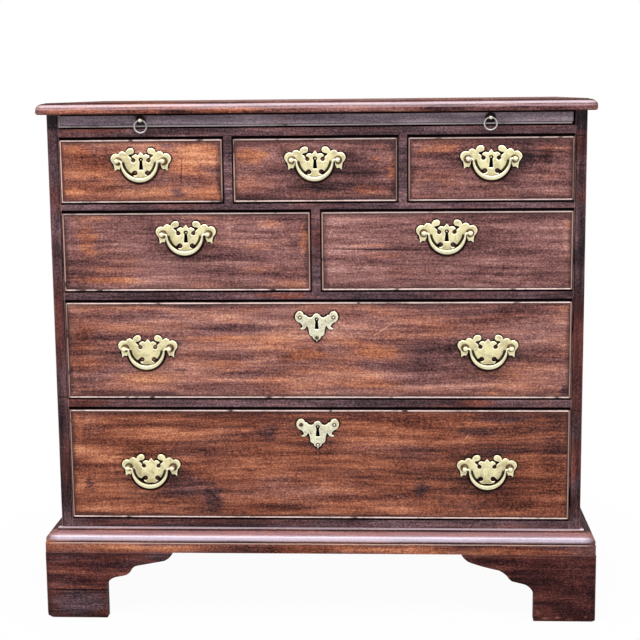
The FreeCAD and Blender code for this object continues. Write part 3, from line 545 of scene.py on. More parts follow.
class WoodRecipe(Recipe):
    """The layers of a wood's finish.

    Clouds, grain, grit, scratches and a cross ripple add up to a lightness; another noise and
    the marks, a few of them painted shade, give a warmth, which chooses between two ramps of
    that lightness. Soot, gaps with their painted shade, dirt with painted shade by beads and
    brasses, worn edges and stripes of painted highlight and shade are laid over that.
    """

    def __init__(self, wood: Wood) -> None:
        """Lays all layers over each other.

        Args:
            wood: the finish's values.
        """
        super().__init__(wood.name)
        self.wood = wood
        self.across, self.back, self.up = self.axes()
        place = self.boarded() if wood.boards > 1 else self.place
        if wood.mitre:
            place = self.runs(place)
        flow = self.shaken(self.stretched(place, 2.0, 4.0), (0.03,) * 3, place, 2.0)
        (self.cloud, self.grain, self.grit, self.scratch, self.hue, self.cross, self.pore) = (
            self.pattern(flow, *row) for row in FIGURE)
        self.dirt = self.pattern(place, *DIRT)
        self.arris = self.rim() if wood.box else None

        light, warm = self.figure()
        lean = light + (0.5 + wood.lift)
        self.colour = self.blend(warm.ease(0.1, 0.9), self.ramp(lean, wood.cool),
                                 self.ramp(lean, wood.warm))
        self.wax = self.dirt.ease(0.35, 0.65, wood.wax, wood.wax * 0.6)
        # Soot and dirt, and beside a drawer's bead painted shade in the crease.
        self.lay(self.soot_and_crease_shade(), wood.soot)
        # Painted shade in the gaps round the openings, and dirt and painted shade round the
        # brasses.
        for dark in self.shade_layers():
            self.lay(dark, wood.painted_shade_tone)
            self.wax = self.wax * (1 - dark)
        self.wear()
        if wood.stripes:
            self.mould(light)
        gloss = wood.rough + (self.dirt - 0.5) * 0.4 - (self.grain - 0.5) * 0.2
        self.set(Base_Color=self.colour, Roughness=gloss.most(0.1), Coat_Weight=self.wax,
                 Coat_Roughness=wood.wax_rough, Coat_IOR=wood.wax_ior, Specular_IOR_Level=0.0)
        self.bump(self.grit * 0.6 + self.grain - self.pore * 0.35 + self.cross * 0.3,
                  wood.relief, 1.0 * MM)

    def lay(self, share: Amount, colour: Tone) -> None:
        """Lays a share of a colour over the colour so far."""
        self.colour = self.blend(share, self.colour, tone(*colour))

    def stretched(self, place: Socket, along: float, across: float, shift: float = 0.0
                  ) -> Socket:
        """Coordinates for a pattern.

        Args:
            place: that they are made of.
            along, across: how many marks a metre there are along and across the fibres.
            shift: that tells the patterns of one wood apart.

        Returns:
            The stretched coordinates.
        """
        scale = [across] * 3
        scale[self.wood.grain.value] = along
        start = self.wood.seed + shift
        return self.moved(tuple(scale), (start, start * 1.7, start * 0.6), source=place)

    def pattern(self, place: Socket, along: float, across: float, shift: float, detail: float,
                roughness: float) -> Amount:
        """Noise stretched along the fibres."""
        return self.noise(self.stretched(place, along, across, shift), detail, roughness)

    def board_rise(self) -> Amount:
        """Height counted in boards from the lowest one's foot."""
        low, high = self.wood.box[2], self.wood.box[5]
        return (self.up - low) * (self.wood.boards / (high - low))

    def boarded(self) -> Socket:
        """Coordinates that jump along the fibres from one board to the next one above."""
        number = self.board_rise().whole()
        jump = self.joined(number * 1.37, number * 0.71)
        return self.vector("ADD", self.place, jump).outputs[0]

    def board_light(self) -> Amount:
        """Lightness that differs from board to board."""
        jump = self.board_rise().whole() * 0.618 + 0.3
        return (jump - jump.whole() - 0.5) * 0.3

    def joints(self) -> Amount:
        """Share of the joints between boards."""
        rise = self.board_rise()
        within = rise - rise.whole()
        height = (self.wood.box[5] - self.wood.box[2]) / self.wood.boards
        return (within.least(1 - within) * height).fall(0.3 * MM, 1.5 * MM)

    def runs(self, place: Socket) -> Socket:
        """Changes X and Y over in the lengths that run back from a mitre.

        A place is in such a length where it is nearer to the outer side than to the front,
        or than one wall's thickness.

        Args:
            place: coordinates of the pattern.

        Returns:
            The changed coordinates.
        """
        outer, front, wall = self.wood.mitre
        side = (self.back - front).least(wall) - (outer - self.across.size())
        first, second, third = self.axes(place)
        mixed = self.add("ShaderNodeMix", {"data_type": "VECTOR"}, {
            0: side.ease(-0.1 * MM, 0.1 * MM), 4: place, 5: self.joined(second, first, third)})
        return mixed.outputs[1]

    def rim(self) -> Amount:
        """Distance to the nearest edge on the faces of the wood's box.

        It is the middle one of the distances to the nearest face along each axis, as the
        smallest is 0 on the surface itself.
        """
        across, back, up = ((axis - start).size().least((end - axis).size()) for axis, start, end
                            in zip(self.axes(), self.wood.box[:3], self.wood.box[3:]))
        return across.least(back).most(across.most(back).least(up))

    def figure(self) -> tuple[Amount, Amount]:
        """Adds up the wood's patterns, boards and marks.

        Returns:
            Lightness and warmth.
        """
        wood, contrast = self.wood, self.wood.contrast
        light = (self.cloud - 0.5) * (0.64 * contrast) + (self.grain - 0.5) * (1.5 * contrast)
        light = light + (self.grit - 0.5) * (1.5 * contrast) + (self.cross - 0.5) * wood.ripple
        light = light + (self.scratch - 0.5) * (0.45 * contrast)
        warm = (self.hue - 0.5) * 1.6 + (self.grain - 0.5) * 0.8 + wood.warmth
        if wood.behind:
            inside = self.back.ease(FRONT + 3 * MM, FRONT + 12 * MM)
            light = light + inside * wood.behind[0]
            warm = warm + inside * wood.behind[1]
        if wood.boards > 1:
            light = light + self.board_light()
        return self.marked(light, warm) if wood.marks else (light, warm)

    def marked(self, light: Amount, warm: Amount) -> tuple[Amount, Amount]:
        """Adds the marks, whose rims are ragged unless they are thin.

        Args:
            light: lightness without them.
            warm: warmth without them.

        Returns:
            Lightness and warmth with them.
        """
        ragged = self.shaken(self.stretched(self.place, 26.0, 95.0, 14.0), (0.05, 0.0, 0.014),
                             self.place, 4.0, 0.7)
        for mark in self.wood.marks:
            thin = min(mark.wide, mark.high) < 3 * MM
            share = mark.share(self, self.place if thin else ragged, self.wood.face)
            light = share.reckon("MULTIPLY_ADD", share, mark.light, light)
            warm = share.reckon("MULTIPLY_ADD", share, mark.warm, warm)
        return light, warm

    def soot_and_crease_shade(self) -> Amount:
        """Gathers soot in patches, pores, joints, scribed arcs and rims, with painted shade by
        beads.

        Returns:
            Share of the soot and painted shade.
        """
        wood = self.wood
        layers = [self.dirt.ease(0.5, 0.72) * wood.soot_share, self.pore.ease(0.58, 0.7) * 0.35]
        if wood.boards > 1:
            layers.append(self.joints() * 0.9)
        layers += [scribe.share(self) for scribe in wood.scribes]
        if wood.rim_share:
            rim = self.arris + (self.dirt - 0.5) * (20 * MM)
            layers.append(rim.fall(0.0, wood.rim_width) * wood.rim_share)
        # A thin dark line along the box's edges, beside a drawer's bead: painted shade and dirt in
        # the crease.
        if wood.crease_shade_share:
            layers.append(self.arris.fall(0.5 * MM, 1.8 * MM) * wood.crease_shade_share)
        return strongest(layers)

    def shade_layers(self) -> list[Amount]:
        """Shares of painted shade in the gaps, and of dirt and painted shade round the brasses."""
        gaps = [self.gap_shade()] if self.wood.gaps else []
        return gaps + [shade.share(self) * self.dirt.ease(0.3, 0.6, 0.75, 0.95)
                       for shade in self.wood.shades]

    def gap_shade(self) -> Amount:
        """Painted shade along the edge of each opening of the front, where the gaps round it lie.

        It is narrow at the case's own sides, which are the borders beyond wall.

        Returns:
            Its share: 1 at an opening's border.
        """
        rise, wall, narrow, broad = 0.5 * MM, 400 * MM, 0.8 * MM, 1.8 * MM
        borders = []
        for left, right, low, high in self.wood.gaps:
            in_left, in_right = (narrow if abs(border) > wall else broad
                                 for border in (left, right))
            across = ((left + in_left) - self.across).most(self.across - (right - in_right))
            up = (self.up - (low + high) / 2 - rise).size() - (high - low) / 2
            borders.append(across.most(up).size())
        dark = nearest(borders).fall(2.4 * MM, 3.8 * MM)
        return dark * self.back.fall(FRONT + 1.5 * MM, FRONT + 4 * MM)

    def wear(self) -> None:
        """Lays the pale worn arrises and the pale lip of what stands proud over the rest."""
        wood = self.wood
        if wood.edge_share and self.arris:
            edge = (self.arris + (self.grit - 0.5) * (2 * MM)).fall(0.2 * MM, wood.edge_width)
            self.lay(edge * self.dirt.fall(0.45, 0.6) * wood.edge_share, wood.edge)
        if wood.proud is not None:
            lip = (wood.proud - self.back).ease(0.3 * MM, 1.0 * MM) * self.dirt.fall(0.5, 0.68)
            lip = lip * self.across.fall(wood.proud_end - 1 * MM, wood.proud_end + 1 * MM)
            self.lay(lip * wood.edge_share, wood.edge)

    def polish(self) -> Amount:
        """Share of the polished bands of height, their borders a little ragged."""
        up = self.up + (self.dirt - 0.5) * (3 * MM)
        return strongest(((up - (low + high) / 2).size() - (high - low) / 2).fall(
            -0.8 * MM, 0.6 * MM) for low, high in self.wood.polished)

    def mould(self, light: Amount) -> None:
        """Lays the painted highlight and shade stripes and the polished bands over a moulding's
        front.

        Args:
            light: the wood's lightness, as pale stripes are thin where it is dark.
        """
        wood = self.wood
        front = self.across.size().fall(wood.stripes_reach - 26 * MM, wood.stripes_reach)
        front = front * self.back.fall(wood.stripes_back, wood.stripes_back + 1 * MM)
        ragged = self.up + (self.cloud - 0.5) * (1.6 * MM)
        thin = (light * 0.5 + (self.dirt - 0.5) * -0.7 + 1.0).least(1.0).most(0.0)
        for stripe in wood.stripes:
            self.lay(stripe.amount(ragged) * front * thin, stripe.colour)
        self.wax = self.wax.most(self.polish() * front * 0.9)


@dataclass(frozen=True)
class Bead:
    """Cock bead: dark in its hollow and worn pale on its nose.

    The worn shares are those of its top, bottom, left and right length.
    """

    name: str
    nose_y: float
    box: tuple[float, ...]
    seed: float
    worn: tuple[float, float, float, float]
    width: float = 3.0 * MM
    pale: Tone = (226, 200, 190)
    pale_sides: Tone = (230, 186, 168)
    brown: Tone = (104, 66, 56)
    dark: Tone = (30, 18, 18)

    @functools.lru_cache(maxsize=None)
    def material(self) -> bpy.types.Material:
        """Builds the finish from the depth behind the bead's nose and from patches of wear.

        Returns:
            The material.
        """
        recipe = Recipe(self.name)
        across, back, up = recipe.axes()
        shift = (self.seed, 0.0, self.seed)
        wear = recipe.noise(recipe.moved((14.0,) * 3, shift), 5.0, 0.75)
        fine = recipe.noise(recipe.moved((260.0,) * 3, shift))
        behind = (back - self.nose_y) + (wear - 0.5) * (1.6 * MM) + (fine - 0.5) * (0.8 * MM)
        low_x, _, low_z, high_x, _, high_z = self.box
        top, bottom, left, right = self.worn
        upright = (across - low_x).size().least((high_x - across).size())
        lengthwise = upright.ease(self.width - 0.3 * MM, self.width + 0.3 * MM)
        level = ((up - low_z) * (1 / (high_z - low_z))).ease(0.4, 0.6, bottom, top)
        share = ((across - low_x) * (1 / (high_x - low_x))).ease(0.4, 0.6, left, right)
        share = share + (level - share) * lengthwise
        body = recipe.blend(fine.ease(0.4, 0.75), tone(*self.dark), tone(*self.brown))
        pale = recipe.blend(lengthwise, tone(*self.pale_sides), tone(*self.pale))
        colour = recipe.blend(behind.fall(0.15 * MM, 0.9 * MM) * share, body, pale)
        recipe.set(Base_Color=colour, Roughness=fine.ease(0.2, 0.8, 0.32, 0.55),
                   Specular_IOR_Level=0.35)
        recipe.bump(fine, 0.2, 0.3 * MM)
        return recipe.material


@dataclass(frozen=True)
class Metal:
    """Cast metal: clean colour, patina and how much of it there is.

    A piece's place attribute is above 0 in hollows, where patina gathers, and along outlines,
    the bail's sides and the posts' collars, where it is painted shade as well; below 0, on rims,
    balls and pin heads, it is a painted highlight, and on rims rubbing too; above 1.2 it is
    black: painted shade inside the keyhole and behind the slide's balls, and a black pin head.
    Circles are (x, z, radius); the posts' rings are patina and painted shade.
    """

    name: str
    clean: Tone = (243, 233, 184)
    patina: Tone = (80, 56, 36)
    # Colour of the painted highlights, and of rims rubbed bright.
    rim: Tone = (252, 248, 226)
    dull: float = 0.34
    patina_share: float = 0.45
    posts: tuple[Circle, ...] = ()
    # Circles of the bail's painted shadow on the plate.
    arcs: tuple[Circle, ...] = ()
    dulled: tuple[Circle, ...] = ()
    dulled_tone: Tone = (236, 233, 204)
    black: Tone = (14, 10, 9)

    @staticmethod
    def from_circle(recipe: Recipe, circle: Circle) -> tuple[Amount, Amount, Amount]:
        """Measures from a circle in the XZ plane.

        Args:
            recipe: that it is part of.
            circle: its X, Z and radius.

        Returns:
            X and Z from the circle's middle, and distance outside the circle.
        """
        x, _, z = recipe.axes()
        middle_x, middle_z, radius = circle
        across, up = x - middle_x, z - middle_z
        return across, up, (across * across + up * up).root() - radius

    def away(self, recipe: Recipe, circles: tuple[Circle, ...]) -> Amount:
        """Distance to the nearest of several circles, below 0 inside."""
        return nearest(self.from_circle(recipe, circle)[2] for circle in circles)

    def arc(self, recipe: Recipe, circle: Circle) -> Amount:
        """Painted shadow line of the bail on the plate, on both sides of its middle."""
        across, up, off = self.from_circle(recipe, circle)
        side = across.size().ease(9 * MM, 15 * MM) * up.fall(-4 * MM, 0.0)
        return off.size().fall(1.5 * MM, 2.6 * MM) * side

    @functools.lru_cache(maxsize=None)
    def material(self) -> bpy.types.Material:
        """Builds the finish: mottled patina, fine scratches, painted highlights and painted shade.

        Returns:
            The material.
        """
        recipe = Recipe(self.name)
        mottle = recipe.noise(recipe.moved((70.0,) * 3), 5.0, 0.65)
        scratch = recipe.noise(recipe.moved((900.0, 900.0, 2600.0)), 2.0)
        stain = recipe.noise(recipe.moved((300.0,) * 3), 4.0, 0.7)
        found = recipe.add("ShaderNodeAttribute", {"attribute_name": "place"})
        place = Amount(recipe, found.outputs["Fac"])
        hollow = (place + (stain - 0.5) * 0.5).ease(0.3, 0.8) * 0.85
        # A dark ring round each post and pin: patina, and painted shade round them.
        if self.posts:
            ring = self.away(recipe, self.posts).fall(0.2 * MM, 3.0 * MM)
            ring = ring * recipe.axes()[1].ease(FRONT - 6 * MM, FRONT - 4.5 * MM)
            hollow = hollow.most(ring * stain.ease(0.2, 0.5, 0.5, 1.0))
        speck = stain.ease(0.56, 0.66) * mottle.ease(0.4, 0.56) * 0.7
        dirt = (mottle.ease(0.4, 0.72) * self.patina_share).most(hollow).most(speck)
        colour = tone(*self.clean)
        if self.dulled:
            dulled = self.away(recipe, self.dulled).fall(0.0, 6 * MM)
            colour = recipe.blend(dulled, colour, tone(*self.dulled_tone))
            dirt = dirt.most(stain.ease(0.5, 0.62) * mottle.ease(0.36, 0.56) * dulled * 0.6)
        colour = recipe.blend(dirt, colour, tone(*self.patina))
        # Paler below 0: a painted highlight on rims, balls and pin heads, with rubbing on the
        # rims.
        bright = ((stain - 0.5) * 0.6 - place).ease(0.2, 0.7)
        colour = recipe.blend(bright * 0.85, colour, tone(*self.rim))
        # Black above 1.2, painted shade inside the keyhole and behind the slide's balls, and the
        # bail's painted shadows.
        dark = place.ease(1.2, 1.6)
        if self.arcs:
            dark = dark.most(strongest(self.arc(recipe, circle) for circle in self.arcs) * 0.95)
        colour = recipe.blend(dark, colour, tone(*self.black))
        rough = self.dull + (stain - 0.5) * 0.2 + (scratch - 0.5) * 0.12 + dirt * 0.25
        recipe.set(Base_Color=colour, Roughness=rough.most(0.12),
                   Metallic=dirt.ease(0.2, 0.9, 1.0, 0.6))
        recipe.bump(stain * 0.7 + scratch * 0.3, 0.15, 0.4 * MM)
        return recipe.material


COOL = ((26, 14, 17), (76, 47, 47), (119, 80, 76), (157, 113, 106), (202, 158, 147))
WARM = ((34, 15, 11), (95, 49, 35), (143, 83, 60), (186, 120, 87), (226, 165, 124))
RUST = ((22, 9, 10), (60, 29, 28), (98, 54, 47), (136, 80, 67), (188, 132, 112))
PLUM = ((21, 14, 19), (61, 45, 49), (103, 78, 82), (146, 115, 118), (192, 160, 162))
SLATE = ((22, 17, 25), (70, 57, 67), (118, 101, 111), (160, 143, 152), (204, 188, 194))
OAK = ((92, 66, 44), (128, 96, 64), (156, 122, 84), (178, 146, 104), (194, 166, 124))
PINE = ((86, 58, 38), (120, 84, 54), (146, 106, 70), (166, 126, 86), (182, 146, 104))

# Brass plates as circles (x, z, radius) in millimetres, the same on both sides.
PLATE_CIRCLES = ((39, 1.5, 9.5), (18, -10, 9), (0, -8, 12.3), (29, 5, 9.1), (17.5, 15.5, 5.5),
                 (39, -7.5, 6.3), (2.5, -24, 5.1), (5, 4, 5.4), (23.5, 0.5, 7.8), (10, 7, 3.6),
                 (44, 4, 6.0))
PLATE_HOLES = ((12.3, 0.8, 2.8), (9.8, -19.6, 2.8))
ESCUTCHEON_CIRCLES = ((0, -9, 15.8), (22, 0, 8.5), (28.5, 5, 7.9), (0, -18, 13.6),
                      (20.5, -11.5, 3.7), (0, -28, 7.4), (0, -34, 3.5))

# Marks, as rows of middle, half sizes, lightness, warmth and turn; stripes of painted highlight
# and painted shade, as rows of low and high border, softness, share and colour.
UPPER_LEFT = marks(
    (-360, 765, 60, 60, -10, 10), (-205, 765, 60, 60, 0, 0), (-221, 762, 1.2, 29.6, -35, -10, 3),
    (-393, 797, 23, 11.5, 10, 55), (-191, 797, 33, 14.7, 12, 55), (-218, 773, 23, 16.4, 10, 45),
    (-401, 730, 25, 8.3, 10, 40), (-368, 761, 17, 6.6, 6, 30), (-228, 727, 13, 8.3, -28, -50),
    (-164, 763, 12, 6.6, -20, -40), (-244, 803, 17, 6.5, -20, -40),
    (-347, 787, 10, 19.7, -12, -10), (-364, 750, 15, 8.3, -15, -20),
    (-156, 741, 7, 19.8, -25, -40), (-177, 732, 20, 6.6, 8, 30),
)
UPPER_MIDDLE = marks(
    (80, 760, 60, 60, -10, -10), (-50, 735.8, 8, 0.6, 35, 0, 51), (41, 753.2, 6, 0.6, 30, 0, -64),
    (-104, 787, 30, 14.7, 12, 60), (-44, 803, 41, 4.9, 8, 20), (-52, 791, 16, 11.4, -20, -35),
    (58, 784, 16, 16.3, -25, -40), (102, 804, 20, 6.5, 14, 20), (99, 782, 16, 6.5, 8, 35),
    (126, 763, 4.9, 22.9, 12, 40), (72, 763, 39, 16.4, -18, -25), (87, 733, 36, 8.2, 16, 50),
    (11, 734, 26, 9.9, -24, -30), (128, 726, 7, 9.8, -25, -30), (-25, 723, 41, 4.9, 12, 15),
)
UPPER_RIGHT = marks(
    (350, 765, 70, 60, -20, -15), (312, 731.8, 1, 3.6, 50, 0, -25), (311, 715.5, 1.3, 1, 50, 0),
    (204, 795, 49, 8.1, 10, 30), (171, 785, 13, 13, 2, 25), (239, 794, 13, 9.7, -20, -30),
    (346, 784, 19, 16.2, -20, -70), (376, 783, 13, 14.6, -22, 30), (386, 799, 29, 6.5, 12, 25),
    (377, 756, 36, 13, -2, 30), (315, 746, 19, 14.7, -20, -50), (187, 733, 23, 13.1, -12, -40),
    (377, 721, 41, 6.5, 12, 10), (245, 776, 13, 13, -15, -10),
)
HALF_LEFT = marks(
    (-78, 644.2, 5, 0.7, -40, 0, 25), (-335, 641.2, 7, 0.7, 25, 0, -30),
    (-182, 607, 0.8, 10.1, -25, 0), (-410, 574, 8, 5.1, 22, -20), (-380, 622, 75, 65, -16, 0),
    (-70, 630, 60, 50, 6, 5), (-384, 650, 22, 30.2, 2, 50), (-373, 685, 42, 6.7, 5, 35),
    (-20, 646, 7, 36.6, 12, 45), (-81, 677, 33, 8.3, 10, 40), (-104, 597, 58, 8.4, 10, 40),
    (-346, 581, 67, 6.8, 10, 40), (-98, 638, 27, 8.3, 10, 25), (-118, 623, 58, 11.7, -20, -20),
    (-47, 685, 33, 8.3, -20, -20), (-117, 670, 23, 10, -15, -20), (-33, 648, 17, 11.6, -20, -20),
    (-278, 649, 27, 13.4, -12, -30), (-331, 673, 20, 8.3, -12, -10), (-63, 598, 20, 8.4, -12, -20),
    (-202, 610, 100, 20.1, 2, -30),
)
HALF_RIGHT = marks(
    (90, 630, 110, 70, 16, 5), (330, 620, 110, 70, -13, -45), (24, 659, 1, 10, 30, 0, 20),
    (83, 638, 58, 5.3, 16, 50), (99, 631.5, 92, 1.5, -45, -10, 1), (111, 623, 50, 6.7, 10, 40),
    (33, 605, 30, 13.4, 12, 0), (70, 596, 27, 10, -12, -20), (137, 589, 26, 13.4, -8, 10),
    (274, 610, 82, 23.3, 0, -50), (264, 589, 16, 6.7, -14, -30), (297, 589, 10, 5, -25, -20),
    (271, 604, 1.5, 13.3, -16, -20), (309, 600, 1.5, 13.3, -16, -20), (316, 663, 23, 6.6, 14, 30),
    (414, 644, 7, 46.3, 12, 40), (357, 679, 41, 6.6, -12, -10), (253, 629, 41, 5, 10, 30),
)
LONG = marks(
    (0, 460, 130, 90, 5, 10), (300, 460, 140, 90, -12, -10), (-375, 455, 70, 80, -20, 0),
    (113, 499.3, 25, 0.8, 40, 30, -34), (-413, 391, 3.1, 1, 50, 0),
    (61, 534, 0.7, 8.4, -30, 0, -12), (-210, 536, 34, 6.8, -15, -20),
    (-317, 515, 41, 8.5, -14, -20), (-395, 486, 24, 27.4, -15, 30),
    (-124, 499, 67, 10.2, -16, -25), (-169, 482, 67, 6.8, 12, 35), (-388, 434, 34, 13.8, 4, 40),
    (-285, 417, 76, 13.8, 5, 30), (-15, 455, 34, 10.2, 10, 40), (-230, 429, 14, 2.7, -40, -20),
    (-115, 420, 59, 6.9, -16, -20), (-49, 449, 25, 8.5, -15, 20), (-285, 389, 51, 5.2, -20, -20),
    (-43, 531, 50, 8.4, 12, -10), (102, 460, 47, 11.9, 12, 55), (69, 475, 50, 6.8, 6, 30),
    (191, 454, 47, 20.4, -20, -20), (224, 468, 12, 16.9, -14, -10), (169, 434, 42, 10.2, -14, -10),
    (247, 525, 50, 6.7, -14, -40), (375, 510, 53, 21.8, 8, 0), (379, 493, 41, 4.4, -10, 20),
    (85, 407, 84, 10.3, 4, 35), (415, 395, 8, 11.9, -40, -50),
)
DEEP = marks(
    (330, 260, 150, 110, -25, 15), (-350, 270, 110, 100, -4, 10),
    (-176, 207.2, 10, 1.1, -50, 0, 38), (-225, 266.8, 11, 0.9, -40, 0, 45),
    (-185, 178, 0.9, 7.1, -40, 0), (135, 209.4, 1.5, 1.4, 60, 0),
    (251, 314.2, 4.4, 0.9, 50, 0, -50), (135, 268.8, 8, 0.8, -35, 0, -40),
    (149, 261.9, 7, 0.8, -35, 0, 60), (-409, 313, 10, 52.7, 14, 40), (-412, 230, 10, 21.2, 14, 40),
    (-388, 193, 38, 14.2, 18, 20), (-371, 279, 31, 8.8, 14, 10), (-267, 322, 34, 8.7, 12, 15),
    (-297, 349, 68, 7, 10, 10), (-114, 310, 31, 8.7, 12, 10), (-56, 280, 34, 21, 8, 0),
    (-157, 252, 34, 7, 12, 10), (-230, 231, 48, 28.2, -16, -40), (-179, 208, 21, 31.8, -28, -40),
    (-394, 230, 9, 12.4, -25, -40), (-340, 341, 34, 10.5, -15, 0), (-84, 322, 17, 17.4, -20, -30),
    (-29, 240, 34, 24.6, -12, 0), (-87, 184, 86, 8.8, 18, 20), (266, 323, 42, 8.6, -20, -50),
    (308, 345, 58, 8.6, -15, -50), (76, 333, 84, 8.6, 5, 10), (400, 285, 23, 72.8, -20, -10),
    (127, 222, 68, 14, -14, -20), (174, 224, 14, 14, -20, -50), (240, 210, 76, 7, 18, 20),
    (21, 184, 43, 7.1, 20, 20), (298, 288, 33, 6.9, 12, -30),
)
SLIDE = marks(
    (-410, 848, 27, 8.2, 5, -50), (-287, 850, 8, 8.1, -50, -30), (-267, 850, 23, 9.8, 0, -50),
    (290, 847, 8, 8, -45, -30), (266, 846, 26, 9.7, -6, -50), (-188, 846, 49, 6.5, 5, 10),
    # The last mark on the next line is painted shadow under the top's overhang.
    (159, 843, 49, 6.5, 6, 10), (25, 846, 65, 8.1, -4, -10), (0, 856.5, 460, 2.6, -60, 0),
)
LEFT_STILE = marks(
    # The first mark on the next line is painted shadow under the top's overhang.
    (-433, 846, 17, 17, -45, -20), (-432, 836.1, 23, 1.3, -45, 0), (-438, 733, 10, 23.2, -2, 30),
    (-432, 549, 15, 34, -8, 10), (-431, 382.3, 15, 1.4, -40, 0), (-432, 255, 12, 53.1, -5, 20),
    (-433, 628, 17, 16, -20, 0), (-433, 495, 17, 72, 12, 25), (-433, 345, 17, 36, -18, 0),
    (-433, 715, 17, 30, 10, 40), (-433, 610, 17, 130, 20, 10), (-433, 400, 17, 50, 18, 0),
    (-433, 208, 17, 36, -25, 0), (-433, 812, 17, 25, -12, 0),
)
RIGHT_STILE = marks(
    # The first mark on the next line is painted shadow under the top's overhang.
    (434, 840, 16, 20, -50, -30), (434, 815.9, 19, 1.1, -45, 0), (434, 618, 17, 26, -30, 0),
    (434, 440, 17, 110, 20, 120), (434, 275, 17, 40, 20, 90), (434, 200, 17, 32, -22, 40),
    (434, 805, 13, 30, -12, 30), (435, 768.3, 15, 1.1, -35, 0), (434, 746, 11, 19.5, -15, 0),
    (434, 716, 11, 8.2, 10, 40), (440, 388, 12, 27.3, 12, 60), (441, 359.1, 13, 1.2, -35, 0),
    (436, 546, 11, 50.2, -5, 20),
)
RAILS = marks(
    (-205, 820.5, 54, 2.3, 35, 0), (-44, 556, 47, 8.4, 14, 20), (274, 373, 33, 6.8, 16, 15),
    (-143, 733.1, 8, 1.2, 50, 0), (-143, 720, 8, 8.3, 14, 0), (146, 720, 8, 9.8, 10, 30),
    (146, 708, 13, 6.6, 10, 20), (-291, 706, 83, 6.6, -8, 10), (2, 648, 7, 30, -2, 20),
    (188, 830, 65, 8.1, 5, -20), (-354, 832, 50, 8.2, -2, 20), (56, 556, 50, 6.7, -12, -20),
    (-152, 164, 206, 7.1, 5, 30), (308, 166, 101, 7, -15, -20), (268, 372, 36, 6.8, 16, 50),
    (-60, 555, 60, 6, 10, 60), (64, 829, 80, 5, 6, 10), (-395, 371, 50, 7, 6, 40),
    (-330, 163, 90, 6, 8, 40),
)
# Painted highlights and painted shade lines along the top's moulded edge.
TOP_PAINTED_LIGHT = stripes((869.6, 872.4, 0.9, 0.7, (222, 196, 204)),
                      (873.4, 876.5, 0.4, 0.7, (44, 26, 24)),
                      (868.0, 868.9, 0.4, 0.5, (52, 32, 30)),
                      (864.4, 867.2, 1.0, 0.4, (204, 168, 172)),
                      (856.0, 858.2, 0.5, 0.6, (40, 24, 22)))
TOP = marks(
    (-280, 868, 190, 40, 0, 30), (330, 868, 150, 40, -6, -70), (90, 868, 120, 40, 4, -20),
    (-130, 862, 60, 5, 10, 50), (210, 860, 40, 4, -20, 0), (-400, 864, 50, 6, 10, 40),
    (30, 863, 70, 4, 10, 30), (-220, 861, 30, 4, -25, 0),
)
# Painted highlights on the base moulding's fillet, swell and arris, painted shade in its hollow
# and quirk.
BASE_PAINTED_LIGHT = stripes((153.6, 156, 0.5, 0.7, (214, 196, 202)),
                       (150.6, 152.8, 0.7, 0.6, (40, 24, 26)),
                       (145.5, 150.0, 1.5, 0.4, (196, 152, 156)),
                       (138.2, 145.6, 2.6, 0.72, (214, 200, 216)),
                       (134.3, 136.1, 0.5, 0.8, (46, 28, 28)),
                       (132.4, 133.9, 0.4, 0.5, (220, 196, 180)))
BASE = marks(
    (0, 125, 470, 9, 8, 30), (-287, 123, 103, 8, 12, 45), (-31, 123, 85, 7, -5, 20),
    (138, 124, 84, 7, 10, 25), (373, 119, 73, 8.7, 14, 50), (-116, 124, 51, 7.1, -12, -20),
)
LEFT_FOOT = marks(
    (-411, 26, 49, 25.2, -2, -80), (-411, 53.4, 54, 3.6, 30, 70), (-411, 49.9, 58, 1.4, -90, 0),
    (-270, 111, 24, 8.9, -14, -50), (-378, 89, 17, 10.7, -12, -20), (-403, 67, 17, 10.7, -12, 0),
    (-339, 110, 52, 7.1, 2, 30),
)
RIGHT_FOOT = marks(
    (337, 78, 23, 10.6, -16, -20), (287, 106, 27, 7, -12, -20), (412, 26, 27, 12.4, -14, -20),
    (392, 7.9, 27, 3.5, 25, 20), (424, 91, 33, 14, 5, 20), (461, 56, 5, 45.9, -15, -20),
    (384, 5, 9, 2.4, 50, 10), (404, 7, 5, 2.6, 45, 10), (374, 13, 3, 6, 40, 0),
    (424, 4, 7, 2, 40, 20), (452, 8, 4, 2.4, 40, 10), (391, 22, 5, 2.5, 25, 0),
)


# ------------------------------------------------------------------ shapes
def ease(share: np.ndarray) -> np.ndarray:
    """Smooth step of shares from 0 to 1: three times the square less twice the cube."""
    return share * share * (3 - 2 * share)


def waver(along: np.ndarray, length: float, spacing: float, size: float, seed: int
          ) -> np.ndarray:
    """Smooth wavering along a closed line.

    Random heights at even knots, each joined to the next by a smooth step; it repeats after
    the line's length.

    Args:
        along: places on the line.
        length: of the line.
        spacing: between knots.
        size: usual height of a knot.
        seed: of the random heights.

    Returns:
        The height at each place.
    """
    count = max(3, round(length / spacing))
    knots = np.random.default_rng(seed).normal(0.0, size, count)
    place = along / length * count
    low = np.floor(place).astype(int)
    share = ease(place - low)
    return knots[low % count] * (1 - share) + knots[(low + 1) % count] * share


def chips(along: np.ndarray, length: float, count: int, width: float, depth: float, seed: int
          ) -> np.ndarray:
    """Depth of small chips along a line.

    Each chip is deepest at its own random place and thins out with the square of the distance
    from it; where chips meet, the deeper one counts.

    Args:
        along: places on the line.
        length: of the line.
        count: of chips.
        width: usual half width of a chip.
        depth: of the deepest chips.
        seed: of the random places and sizes.

    Returns:
        The depth at each place.
    """
    draw = np.random.default_rng(seed)
    middles = draw.uniform(0, length, count)
    widths = width * draw.uniform(0.4, 1.8, count)
    depths = depth * draw.uniform(0.15, 1.0, count) ** 1.5
    away = np.abs(along[:, None] - middles)
    away = np.minimum(away, length - away)
    return (np.clip(1 - (away / widths) ** 2, 0, None) * depths).max(axis=1)


